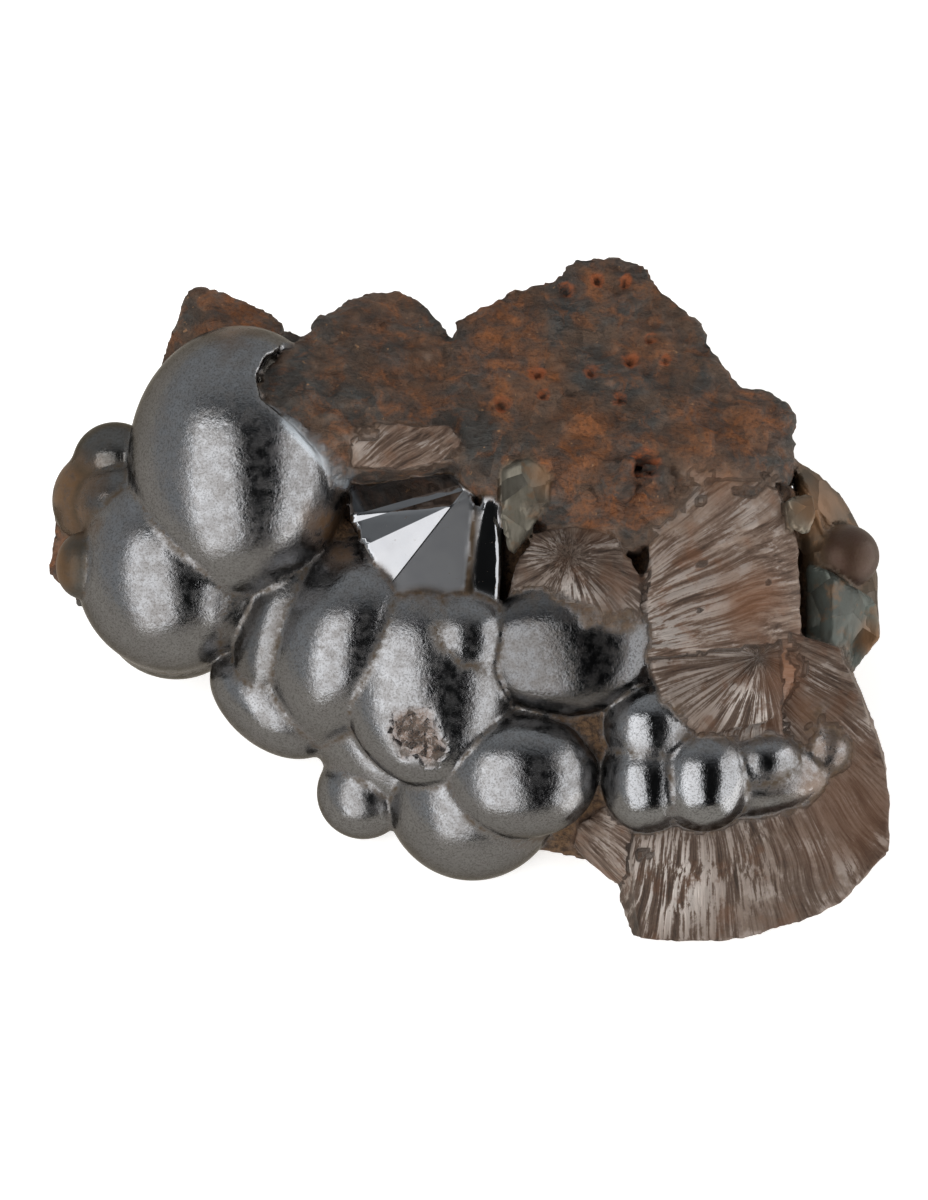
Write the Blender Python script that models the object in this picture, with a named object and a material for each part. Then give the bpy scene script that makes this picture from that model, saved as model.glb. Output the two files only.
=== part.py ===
"""Botryoidal hematite ("kidney ore"), one specimen grown as one solid.

The specimen lies on its broken back and shows one good face: a cluster of smooth
rounded lobes, flat and fibrous breaks above and beside them, and a rusty crust
along the top.  Everything is laid out on that face, in millimetres: x runs right,
y runs up the face and z comes out of it.  LEAN_DEG is how far the face leans
towards the viewer from lying level.  At the end the solid is turned by it, cut
flat where it rests, and moved so that the origin is under the middle of it.
"""
from math import atan2, cos, radians, sin

import bmesh
import bpy
from mathutils import Matrix, Vector, noise
from mathutils.bvhtree import BVHTree

MM = 0.001                 # one millimetre in metres
LEAN_DEG = 30.0            # tilt of the good face above level
FACE_HEIGHT = 27.5         # from the table up to the middle of the face
BIG_LOBE = 11.0            # lobes at least this large get the finer sphere
BIG_DENT = 3.0             # dents with at least this radius get the finer sphere
CRUST_STEP = 5.0           # longest edge on a rough block
CRUST_HEIGHT = 1.1         # how far its bumps stand out
CRUST_GRAIN = 6.0          # spacing of its bumps
FINE_GRAIN = 2.3           # how many times closer its small bumps stand
FINE_SHARE = 0.5           # their height, as a share of the large ones
FIBRE_STEP = 3.6           # longest edge on a block with rays
FIBRE_HEIGHT = 0.8         # how far its rays stand out
RAYS_PER_TURN = 7.0        # how closely rays follow each other round their centre
SPLIT_ROUNDS = 4           # how often long edges are halved
SEED_GAP = 7.3             # keeps the bumps of one block unlike those of the next
SKIN_STEP = 0.8            # spacing of the even skin
TRIANGLE_BUDGET = 8600     # upper limit for the whole solid
IN_FRONT = 100.0           # a z in front of the whole specimen
TABLE_BLOCK = 400.0        # side of the slab that cuts the back flat

# The rounded lobes: name: centre, radii, turn about z in degrees
LOBES = {
    "crown": ((-37.5, 22.4, -1.5), (18.6, 23.3, 18.6), 0),
    "left": ((-49.2, 5.3, -5.0), (15.8, 17.4, 15.5), 0),
    "left_under": ((-48.8, -1.0, -11.0), (12.8, 12.4, 12.8), 0),
    "left_top": ((-58.8, 22.8, -9.0), (7.4, 7.3, 7.4), 0),
    "left_edge": ((-62.3, 16.9, -9.5), (7.3, 8.2, 7.5), 0),
    "left_cheek": ((-57.0, 16.0, -6.0), (8.6, 7.2, 8.6), 0),
    "wedge": ((-39.8, 1.7, -3.0), (8.5, 10.5, 9.0), 0),
    "sliver": ((-30.3, -4.2, 0.0), (7.0, 13.5, 8.0), -20),
    "shoulder": ((-19.0, -6.5, -10.0), (16.0, 20.5, 24.5), -26),
    "chest": ((-6.0, -13.6, 6.4), (14.2, 17.4, 9.0), 5),
    "skirt": ((-15.4, -20.3, -7.0), (11.0, 19.2, 12.5), 36),
    "low_left": ((-32.0, -17.2, -5.0), (12.0, 7.6, 10.0), -38),
    "low_mid": ((-17.0, -32.4, -6.0), (7.8, 7.8, 7.8), 0),
    "belly": ((1.5, -32.2, -5.0), (14.8, 14.8, 14.8), 0),
    "belly_front": ((5.0, -30.2, -1.8), (12.6, 12.6, 12.0), 0),
    "bead": ((9.6, -28.8, 6.4), (12.6, 10.6, 9.2), 0),
    "throat": ((-0.3, -6.4, 7.4), (8.5, 8.5, 7.8), 0),
    "throat_small": ((6.6, -11.4, 5.5), (4.6, 5.2, 4.6), 0),
    "cut_lobe": ((17.0, -8.0, 8.4), (15.0, 11.0, 6.6), 0),
    "right_top": ((30.8, -21.0, 7.0), (8.0, 7.6, 8.0), 0),
    "right_left": ((30.2, -29.6, 6.5), (7.6, 8.8, 8.2), 0),
    "right_mid": ((39.4, -29.2, 7.5), (8.2, 9.0, 8.6), 0),
    "right_bar": ((44.0, -28.6, 4.5), (17.0, 7.6, 7.6), 0),
    "right_far": ((49.0, -26.6, 6.5), (7.0, 5.4, 6.5), 8),
    "right_end": ((60.0, -24.6, 4.0), (4.6, 5.6, 5.0), -30),
    "flank_lump": ((63.6, 7.2, -2.0), (5.8, 5.4, 6.4), 0),
}
BUTTON = ((-63.6, 5.8, -0.6), (4.4, 5.5, 4.4), 0)   # small raised nodule on the left lobe


def foot(x, y):
    """The point of the resting plane that lies straight behind (x, y) of the face."""
    lean = radians(LEAN_DEG)
    return (x, y, -(FACE_HEIGHT + y * sin(lean)) / cos(lean))


# The broken blocks: name: (surface, corner points).  Each is the convex hull of
# its corners.  Surfaces: rough (rusty crust), plain (flat break), rays (fibres).
BLOCKS = {
    "core": ("plain", [
        (-52, 18, -10), (-46, -6, -12), (-26, -22, -9), (0, -36, -7), (20, -36, 0), (40, -32, 3),
        (58, -24, 0), (60, -8, 0), (60, 12, 0), (48, 26, 0), (4, 30, 2), (-30, 36, -6), foot(-48, 10),
        foot(-38, -8), foot(-24, -22), foot(-6, -37), foot(6, -41), foot(26, -45), foot(60, -42),
        foot(62, -20), foot(62, 0), foot(54, 14), foot(36, 28), foot(18, 32), foot(-10, 28), foot(-30, 25),
        foot(-44, 22)]),
    "rust_flank": ("rough", [
        (-70.6, 5, -10), (-69.6, 13.5, -11), (-68, 19, -11), (-66, 2, -7.5), (-60, -2.5, -8),
        (-57, -7, -12), (-62, 12, -5), (-64, -1.5, -12), (-55, 5, -20), (-60, 15, -20)]),
    "back_shard": ("rough", [
        (-53.4, 35.2, -13), (-49.4, 46.4, -14.5), (-47.0, 53.0, -15), (-45, 53.6, -15), (-38.3, 51.4, -17),
        (-33.3, 49.2, -17), (-30.7, 47, -16), (-30.9, 45.6, -15), (-43, 51.4, -13), (-37.8, 44, -8),
        (-34, 40, -6), (-44, 30, -10), foot(-46, 27), foot(-32, 26), foot(-40, 10)]),
    "between_lobes": ("plain", [
        (-20, 10, 2), (-24, 16, -2), (-12, -4, 5), (4, -20, 8), (16, -22, 8.5), (26, -24, 8), (26, -34, 3),
        (18, -38, -2), (0, -30, 0), (10, -4, 6), (-24, 0, -4), (30, -20, 8), (52, -30, 2)]),
    "crust_left": ("rough", [
        (-24.3, 46.7, -6), (-19, 51.5, -9), (-11.3, 52.6, -9), (-6.6, 50, -8), (-2.4, 44.6, -5),
        (-33.2, 34, 11.2), (-33.4, 37, 9.2), (-30, 41.4, 4.0), (-29.2, 29, 11.8), (-19.5, 20.6, 9),
        (-1, 23, 9), (8, 30, 4), foot(-28, 25), foot(-18, 28), foot(0, 28), foot(-20, 10), foot(6, 10)]),
    "crown_seat": ("rough", [
        (-31, 45.8, -8), (-26, 44.2, -6), (-30, 36, 0), (-22, 40, 0), foot(-30, 24), foot(-24, 26)]),
    "crown_lip": ("plain", [
        (-29.4, 30.2, 12.5), (-27.6, 29.6, 12), (-18.6, 20.4, 8.4), (-19.2, 18.2, 8.2), (-22, 19, 8),
        (-29.2, 27.5, 11), (-28, 26, 0), (-20, 18, 0)]),
    "shelf": ("rays", [
        (-18.4, 22.0, 11), (-18.2, 26.5, 11), (-15, 29, 10), (-3, 29, 9.5), (-0.5, 26, 10.5),
        (-4, 22.6, 11), (-10, 21.2, 11.2), (-12, 24, -5), (-18, 22, -4), (0, 24, -4)]),
    "crust_mid": ("rough", [
        (-1.3, 46.7, -5), (5.8, 50.7, -7), (15.8, 54, -8), (37, 49.4, -9), (44.2, 38.7, -5), (48, 34, -3),
        (-4, 30, 7), (0, 20, 8.5), (20, 22, 8), (40, 24, 6), (52, 24, 3), (50, 18, 4), (14, 12, 8),
        (26.5, 7.6, 8.6), foot(0, 24), foot(14, 29), foot(34, 27), foot(44, 22), foot(50, 10), foot(0, 0)]),
    "peak": ("rough", [
        (13.5, 52.5, -8), (18.3, 57.0, -9), (24.2, 58.0, -9.5), (29, 56.8, -9.5), (33, 51.9, -9),
        (36.6, 49.6, -9), (24, 44, -4), (16, 46, -4), foot(18, 32), foot(32, 28)]),
    "corner": ("rough", [
        (46.5, 35.5, -3), (50, 35.8, -4), (52, 34.8, -4), (54.4, 32.3, -3), (55.2, 30.2, -2),
        (54.8, 26.2, 0), (55.6, 23.4, 0), (49, 30, 1.5), (46, 24, 5), (53, 19, 4), foot(46, 16),
        foot(55, 12)]),
    "flank": ("plain", [
        (55, 24, -4), (58.3, 22, -5), (63.3, 18, -7), (65.0, 14.5, -7), (68.8, 8.3, -7), (69.6, 4, -7),
        (69.3, -1, -5), (70.0, -6.6, -6), (67.5, -8.9, -6), (64, -11, -6), (57, 18, 1), (60, 10, 2),
        (63, -3, 3.5), (58, -10, 2), (56, 5, 0), foot(58, 8), foot(64, 0), foot(66, -10), foot(60, -18)]),
    "grey_chip": ("plain", [
        (53.2, 16.8, 6), (57.8, 18, 4.5), (58.6, 14, 5.5), (56.8, 10.5, 6), (54, 12, 6.8), (57, 14, -3),
        (53.5, 14, -3)]),
    "green_face": ("plain", [
        (57, 6, 2), (61, 4.5, 5.0), (66, 1.4, 3), (69, -0.5, 0), (69.5, -6.5, -2), (64, -9.8, 2),
        (60.5, -9.5, 5.2), (58, -16, 4), (56.5, -22, 4), (62, -14, 2), (57, -10, -4), (68, -4, -8)]),
    "fibre_right": ("rays", [
        (28.8, 1.5, 8.5), (30.6, -12, 12.5), (33, -17, 13.5), (39, -22, 13), (50, -20, 12.5),
        (55.4, -12, 9.5), (55.5, 8, 5.6), (51, 21, 3.4), (40, 22, 5.4), (31, 11, 7.6), (48, -9, 12.8),
        (30, 0, -8), (54, 18, -8), (54, -20, -8), (34, -18, -8)]),
    "bright_fan": ("rays", [
        (48.3, -9.6, 13.8), (45, -13, 13.9), (38.5, -21.5, 12.5), (37.8, -23.6, 10.5), (45, -24.6, 9.4),
        (52.8, -24.2, 8.2), (52.6, -20, 10.5), (50.5, -12, 12.4), (50, -20, 0), (40, -20, 0)]),
    "fibre_small": ("rays", [
        (7.2, -2.0, 8), (8.2, 4.5, 9), (11.5, 11, 8.5), (18, 12, 9), (25, 10.5, 9.5), (29.2, 4, 9),
        (29, -3.6, 11.5), (20, -4.4, 14.4), (11.5, -3.3, 11), (17, 8.7, 12.0), (24, 2, 12.8), (10, 0, -5),
        (28, 0, -5), (18, 10, -5)]),
    "mirror": ("plain", [
        (-19.3, 20.4, 3.0), (-19.2, 13.3, 7), (-16.6, 8.6, 8.2), (-10.8, 1.2, 11), (-6.6, -1.8, 12),
        (0.6, -2.4, 12), (2.4, 14.2, 8), (0.5, 21, 4), (-16, 14, -6), (-4, 0, -4), (2, 16, -6)]),
    "mirror_side": ("plain", [
        (1.8, 14.2, 8.2), (0.2, -2.4, 12), (5.6, -1.8, 10.6), (6.4, 6, 8.0), (6.2, 16, 7.4),
        (4.5, 20.2, 7.5), (1, 8, -5), (6, 8, -5)]),
    "grey_step": ("plain", [
        (6.4, 21.5, 9.6), (10.5, 23.2, 9.0), (13.8, 20.4, 8.6), (13.4, 15.8, 8.4), (10.8, 10.8, 8.8),
        (7.8, 6.8, 9.4), (5.9, 13.4, 10.2), (9, 14, -4), (11, 20, -4), (8, 20, -4)]),
    "chip_left": ("rough", [
        (21.8, 21.7, 8.2), (24.5, 23.7, 8.0), (27.8, 23.0, 8.2), (29.2, 19.2, 8.6), (26.7, 15.8, 9.2),
        (22.8, 16.7, 9.0), (25.5, 19.5, 11.2), (23, 18, 10.4), (25, 19, 0)]),
    "chip_right": ("rough", [
        (29.4, 22.4, 7.8), (33.8, 21.9, 7.6), (35.4, 18.3, 8.0), (31.7, 15.6, 9.2), (29.4, 17.8, 9.4),
        (32.0, 19.4, 10.6), (32, 19, 0)]),
    "right_facet": ("plain", [
        (55.8, -15, 7.5), (59.5, -12, 5.5), (63.8, -13.3, 3.5), (64.5, -19.2, 3.0), (61.7, -23.3, 5.5),
        (56.7, -22.5, 7.5), (60, -17, 7.8), (60, -18, -6)]),
    "fan_left": ("rays", [
        (17.8, -41.6, -3), (20.8, -44.1, -3.5), (24.2, -46.6, -3.5), (27.0, -48.5, -3), (28.3, -46, 3.5),
        (29.0, -38, 5), (19, -37, 1), (24, -34, 3), foot(20, -38), foot(28, -42), (40, -40, -6)]),
}
# Where the fibres of each rayed block meet
RAY_CENTRES = {
    "shelf": (-40.0, 2.0, 8.0),
    "fibre_right": (48.3, -9.2, 8.0),
    "bright_fan": (48.3, -9.2, 13.0),
    "fibre_small": (17.0, 8.7, 8.0),
    "fan_left": (8.0, -30.0, 4.0),
}

# The big broken lobe at the lower right: a sector of a ball, seen where it split
FAN_CENTRE = (36.3, -1.3, 5.0)
FAN_RADIUS = 55.3
FAN_FIRST_DEG = -102.0
FAN_LAST_DEG = -14.0
FAN_STEPS = 12
FAN_BACK_DEG = (-3.0, -14.0, -27.0, -42.0, -58.0)
FAN_TILT = 0.10            # rise of the split face per millimetre up the face
FAN_FACE_Z = 5.5           # height of the split face at FAN_LEVEL_Y
FAN_LEVEL_Y = -45.0
FAN_RIDGE = 0.9            # height of its rays
FAN_SEED = 4.0             # keeps its rays unlike those of the blocks
FAN_RIM = 0.985            # where the split face ends, as a share of the radius
FAN_DEPTH = 0.9            # depth of the ball's back, as a share of the radius
FAN_TOP_X = (32.3, 48.3)   # where the split face starts, above the middle
FAN_CUTS = [               # flat breaks: (point on the break, its outward direction)
    ((28.2, -52.5, 3.0), (-0.97, -0.12, 0.35)),
    ((66.3, -16.7, 0.0), (0.93, 0.36, 0.10)),
    ((66.2, -46.7, 0.0), (0.72, -0.69, 0.10)),
    ((70.6, -33.0, 0.0), (1.0, 0.0, 0.05)),
]

# The part of the crown lobe that broke away: outline across the face, front and back
CROWN_BREAK = [
    (-33.2, 33.0), (-34.0, 36.7), (-32.8, 39.7), (-30.0, 41.8), (-24.5, 43.4), (-22.0, 50.0), (-8.0, 50.0),
    (-8.0, 12.0), (-14.5, 13.5), (-19.6, 19.2), (-28.0, 28.6)]
CROWN_BREAK_Z = (-6.0, 30.0)

PIT_DEPTH = 0.9            # depth of a pit in the crust, as a share of its radius
# Pits in the crust: x, y, radius
PITS = [
    (12.2, 37.8, 1.3), (13.3, 34.2, 0.9), (6.3, 32.5, 1.3), (21.2, 38.0, 1.1), (28.0, 40.3, 1.4),
    (31.2, 43.7, 1.0), (33.8, 40.0, 0.9), (22.5, 54.0, 1.1), (27.2, 53.6, 1.0), (17.2, 52.4, 1.2),
    (25.8, 33.3, 1.1), (30.0, 22.5, 2.2)]
# The bruised spot on the chest lobe: x, y, radius, depth
BRUISES = [(-8.3, -21.6, 4.6, 1.0), (-5.6, -24.2, 3.0, 0.8)]


def clear_scene():
    """Remove every object of the open scene."""
    for item in list(bpy.data.objects):
        bpy.data.objects.remove(item, do_unlink=True)


def make_object(name, shape):
    """Turn a bmesh into a linked object."""
    mesh = bpy.data.meshes.new(name)
    shape.to_mesh(mesh)
    shape.free()
    item = bpy.data.objects.new(name, mesh)
    bpy.context.scene.collection.objects.link(item)
    return item


def apply_steps(body):
    """Replace the body's mesh with what its modifiers make of it."""
    graph = bpy.context.evaluated_depsgraph_get()
    shaped = bpy.data.meshes.new_from_object(body.evaluated_get(graph))
    body.modifiers.clear()
    body.data = shaped


def combine(body, tool, operation):
    """Join the tool to the body, or take it away, and drop the tool."""
    step = body.modifiers.new("shape", "BOOLEAN")
    step.operation = operation
    step.solver = "EXACT"
    step.object = tool
    apply_steps(body)
    bpy.data.objects.remove(tool, do_unlink=True)


def lobe(name, centre, radii, turn):
    """One rounded lobe, an ellipsoid."""
    shape = bmesh.new()
    detail = 4 if max(radii) >= BIG_LOBE else 3
    bmesh.ops.create_icosphere(shape, subdivisions=detail, radius=1.0)
    turned = Matrix.Rotation(radians(turn), 4, "Z")
    shape.transform(Matrix.Translation(centre) @ turned @ Matrix.Diagonal((*radii, 1.0)))
    return make_object(name, shape)


def split_long_edges(shape, longest):
    """Halve long edges, a few rounds, so that the faces can take relief."""
    bmesh.ops.triangulate(shape, faces=shape.faces[:])
    for _ in range(SPLIT_ROUNDS):
        long_edges = [edge for edge in shape.edges if edge.calc_length() > longest]
        if not long_edges:
            return
        bmesh.ops.subdivide_edges(shape, edges=long_edges, cuts=1)
        bmesh.ops.triangulate(shape, faces=shape.faces[:])


def hull(corners):
    """Convex hull of the corners, as a bmesh with its faces pointing out."""
    shape = bmesh.new()
    for corner in corners:
        shape.verts.new(corner)
    made = bmesh.ops.convex_hull(shape, input=shape.verts[:])
    inside = made["geom_interior"] + made["geom_unused"]
    loose = {item for item in inside if isinstance(item, bmesh.types.BMVert)}
    bmesh.ops.delete(shape, geom=list(loose), context="VERTS")
    bmesh.ops.recalc_face_normals(shape, faces=shape.faces[:])
    bmesh.ops.triangulate(shape, faces=shape.faces[:])
    return shape


def roughen(shape, height, grain, seed):
    """Push each point along its normal by smooth noise."""
    shape.normal_update()
    moves = []
    for vert in shape.verts:
        at = vert.co / grain + Vector((seed, 0.0, 0.0))
        moves.append(vert.normal * (height * (noise.noise(at) + FINE_SHARE * noise.noise(at * FINE_GRAIN))))
    for vert, move in zip(shape.verts, moves):
        vert.co += move


def ridge(angle, seed):
    """Height, from -1 to 1, of the ray at this angle about a ray centre."""
    return noise.noise(Vector((cos(angle) * RAYS_PER_TURN + seed, sin(angle) * RAYS_PER_TURN, seed)))


def raise_rays(shape, centre, height, seed):
    """Push each point along its normal by the height of the ray it lies on."""
    shape.normal_update()
    moves = []
    for vert in shape.verts:
        away = vert.co - Vector(centre)
        angle = atan2(away.y, away.x)
        moves.append(vert.normal * (height * ridge(angle, seed)))
    for vert, move in zip(shape.verts, moves):
        vert.co += move


def block(name, surface, corners, seed):
    """One broken block, with the surface its break left."""
    shape = hull(corners)
    if surface == "rough":
        split_long_edges(shape, CRUST_STEP)
        roughen(shape, CRUST_HEIGHT, CRUST_GRAIN, seed)
    if surface == "rays":
        split_long_edges(shape, FIBRE_STEP)
        raise_rays(shape, RAY_CENTRES[name], FIBRE_HEIGHT, seed)
    return make_object(name, shape)


def fan_face(y):
    """Height of the split face of the big broken lobe at this y."""
    return FAN_FACE_Z + FAN_TILT * (y - FAN_LEVEL_Y)


def cut_flat(shape, point, outward):
    """Cut a closed bmesh with a plane, drop what lies outside and close it."""
    geometry = shape.verts[:] + shape.edges[:] + shape.faces[:]
    made = bmesh.ops.bisect_plane(shape, geom=geometry, plane_co=point, plane_no=outward, clear_outer=True)
    rim = [item for item in made["geom_cut"] if isinstance(item, bmesh.types.BMEdge)]
    bmesh.ops.holes_fill(shape, edges=rim, sides=0)


def fan():
    """The big broken lobe: a sector of a ball whose split face carries rays."""
    centre = Vector(FAN_CENTRE)
    corners = [centre - Vector((0.0, 0.0, FAN_RADIUS * FAN_DEPTH))]
    for step in range(FAN_STEPS + 1):
        angle = radians(FAN_FIRST_DEG + (FAN_LAST_DEG - FAN_FIRST_DEG) * step / FAN_STEPS)
        outward = Vector((cos(angle), sin(angle), 0.0))
        for back_deg in FAN_BACK_DEG:
            back = radians(back_deg)
            corners.append(centre + FAN_RADIUS * (outward * cos(back) + Vector((0.0, 0.0, sin(back)))))
        rim = centre + outward * FAN_RADIUS * FAN_RIM
        corners.append((rim.x, rim.y, fan_face(rim.y)))
    for x in FAN_TOP_X:
        corners.append((x, centre.y, fan_face(centre.y)))
    shape = hull(corners)
    for point, outward in FAN_CUTS:
        cut_flat(shape, point, outward)
    split_long_edges(shape, FIBRE_STEP)
    bmesh.ops.recalc_face_normals(shape, faces=shape.faces[:])
    raise_rays(shape, FAN_CENTRE, FAN_RIDGE, FAN_SEED)
    return make_object("fan", shape)


def prism(name, outline, low, high):
    """An outline of the face pulled up from low to high."""
    shape = bmesh.new()
    base = shape.faces.new([shape.verts.new((x, y, low)) for x, y in outline])
    pulled = bmesh.ops.extrude_face_region(shape, geom=[base])
    top = [item for item in pulled["geom"] if isinstance(item, bmesh.types.BMVert)]
    bmesh.ops.translate(shape, verts=top, vec=(0.0, 0.0, high - low))
    bmesh.ops.triangulate(shape, faces=shape.faces[:])
    bmesh.ops.recalc_face_normals(shape, faces=shape.faces[:])
    return make_object(name, shape)


def front_at(body, x, y):
    """The frontmost point and direction of the body at (x, y) of the face."""
    graph = bpy.context.evaluated_depsgraph_get()
    tree = BVHTree.FromObject(body, graph)
    spot, normal, _, _ = tree.ray_cast(Vector((x, y, IN_FRONT)), Vector((0.0, 0.0, -1.0)))
    return spot, normal


def dent(body, x, y, radius, depth):
    """Take a shallow round bite out of the front of the body."""
    spot, normal = front_at(body, x, y)
    reach = (radius * radius + depth * depth) / (2.0 * depth)
    shape = bmesh.new()
    bmesh.ops.create_icosphere(shape, subdivisions=3 if reach > BIG_DENT else 2, radius=reach)
    shape.transform(Matrix.Translation(spot + normal * (reach - depth)))
    combine(body, make_object("dent", shape), "DIFFERENCE")


def build_body():
    """Grow the lobes on the core, add the broken blocks and take the breaks away."""
    surface, corners = BLOCKS["core"]
    body = block("core", surface, corners, 0.0)
    for name, (centre, radii, turn) in LOBES.items():
        piece = lobe(name, centre, radii, turn)
        if name == "crown":
            combine(piece, prism("crown_break", CROWN_BREAK, *CROWN_BREAK_Z), "DIFFERENCE")
        combine(body, piece, "UNION")
    combine(body, lobe("button", *BUTTON), "UNION")
    for seed, (name, (surface, corners)) in enumerate(BLOCKS.items()):
        if name != "core":
            combine(body, block(name, surface, corners, seed * SEED_GAP), "UNION")
    combine(body, fan(), "UNION")
    for x, y, radius in PITS:
        dent(body, x, y, radius, radius * PIT_DEPTH)
    for x, y, radius, depth in BRUISES:
        dent(body, x, y, radius, depth)
    return body


def table_block():
    """A slab below the resting plane, wider than the specimen."""
    shape = bmesh.new()
    bmesh.ops.create_cube(shape, size=1.0)
    shape.transform(Matrix.Translation((0.0, 0.0, -TABLE_BLOCK / 2.0)) @ Matrix.Scale(TABLE_BLOCK, 4))
    return make_object("table", shape)


def heal(body):
    """Turn the joined shapes into one even skin."""
    step = body.modifiers.new("skin", "REMESH")
    step.mode = "VOXEL"
    step.voxel_size = SKIN_STEP
    apply_steps(body)


def thin_out(body, most):
    """Merge the smallest triangles until at most this many are left."""
    body.modifiers.new("triangles", "TRIANGULATE")
    apply_steps(body)
    step = body.modifiers.new("thin", "DECIMATE")
    step.ratio = min(1.0, most / len(body.data.polygons))
    apply_steps(body)


def rest_on_table(body):
    """Turn the face to its lean, cut the back flat and set the origin under the middle."""
    lean = Matrix.Rotation(radians(LEAN_DEG), 4, "X")
    body.data.transform(Matrix.Translation((0.0, 0.0, FACE_HEIGHT)) @ lean)
    heal(body)
    thin_out(body, TRIANGLE_BUDGET)
    combine(body, table_block(), "DIFFERENCE")
    body.modifiers.new("triangles", "TRIANGULATE")
    apply_steps(body)
    corners = [Vector(corner) for corner in body.bound_box]
    low = Vector([min(corner[axis] for corner in corners) for axis in range(3)])
    high = Vector([max(corner[axis] for corner in corners) for axis in range(3)])
    middle = (low + high) / 2.0
    middle.z = low.z
    body.data.transform(Matrix.Scale(MM, 4) @ Matrix.Translation(-middle))


def hematite():
    """Dark steel-grey hematite."""
    material = bpy.data.materials.new("hematite")
    material.use_nodes = True
    shader = material.node_tree.nodes["Principled BSDF"]
    shader.inputs["Base Color"].default_value = (0.075, 0.072, 0.072, 1.0)
    shader.inputs["Roughness"].default_value = 0.28
    shader.inputs["Metallic"].default_value = 0.9
    return material


clear_scene()
specimen = build_body()
rest_on_table(specimen)
specimen.name = "kidney_ore"
specimen.data.name = "kidney_ore"
specimen.data.materials.clear()
specimen.data.materials.append(hematite())
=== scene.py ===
"""Looks of a botryoidal hematite specimen ("kidney ore") lying on its broken back.

The specimen's skin is worked out from the same lobes and broken blocks that the
solid is made of.  Each is a signed distance in face millimetres: x runs right on
the good face, y up it and z out of it.  They are joined, meshed finely, given the
relief of their surfaces, and turned into the world with the face's lean.
"""

from math import cos, radians, sin

import bmesh
import bpy
import numpy as np
from mathutils import Matrix, Vector


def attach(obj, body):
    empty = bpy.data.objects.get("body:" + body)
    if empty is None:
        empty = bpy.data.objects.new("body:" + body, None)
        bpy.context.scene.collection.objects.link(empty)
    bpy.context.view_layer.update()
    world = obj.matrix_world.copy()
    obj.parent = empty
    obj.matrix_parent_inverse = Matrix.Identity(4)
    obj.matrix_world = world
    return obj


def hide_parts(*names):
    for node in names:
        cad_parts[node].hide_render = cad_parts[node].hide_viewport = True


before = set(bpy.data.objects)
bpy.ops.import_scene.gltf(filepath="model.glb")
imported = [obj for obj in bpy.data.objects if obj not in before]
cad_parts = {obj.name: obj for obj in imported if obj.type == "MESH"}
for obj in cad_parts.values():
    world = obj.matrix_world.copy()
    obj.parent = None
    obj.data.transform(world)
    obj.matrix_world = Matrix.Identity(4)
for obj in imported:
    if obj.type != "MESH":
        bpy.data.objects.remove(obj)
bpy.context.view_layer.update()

# ---- driving sizes
MM = 0.001
LEAN_DEG = 30.0  # tilt of the good face above level
FACE_HEIGHT = 27.5  # table to the middle of the face
FOOTPRINT_MIDDLE = (1.03, 2.55)  # what the solid was moved by, so that its middle is the origin
CELL = 0.72  # mesh spacing across the face
CELL_DEEP = 1.7  # mesh spacing along z at the hidden back
FINE_ABOVE = -8.0  # z above which the spacing along z is CELL too
CELL_GROWTH = 0.12  # how fast that spacing grows behind there
GRID_LOW = (-72.5, -60.0, -62.0)  # the grid's corners
GRID_HIGH = (72.5, 61.0, 21.5)
JOIN = 0.9  # radius of the fillet in the grooves between shapes
GROUP = 9.0  # points are handled in cubes of this size
GROUPS = 128  # more than there are of them along any axis
FAR = 4.0  # shapes farther than this from a cube don't count there
SMALLEST_FACE = 1e-4  # faces of a block with less area than this give no plane
BLOCK_CELLS = 4  # the grid is first looked through in blocks of this many cells
CLEARANCE = 1.3  # a block is passed over from this many of its half diagonals away
DEEP = 9.0  # distance written where only its sign is known
BATCH = 200000  # grid nodes worked out at a time
SETTLE_ROUNDS = 3  # times the net is evened out
SETTLE_SHARE = 0.6  # how far a point goes towards its neighbours' mean each time

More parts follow.
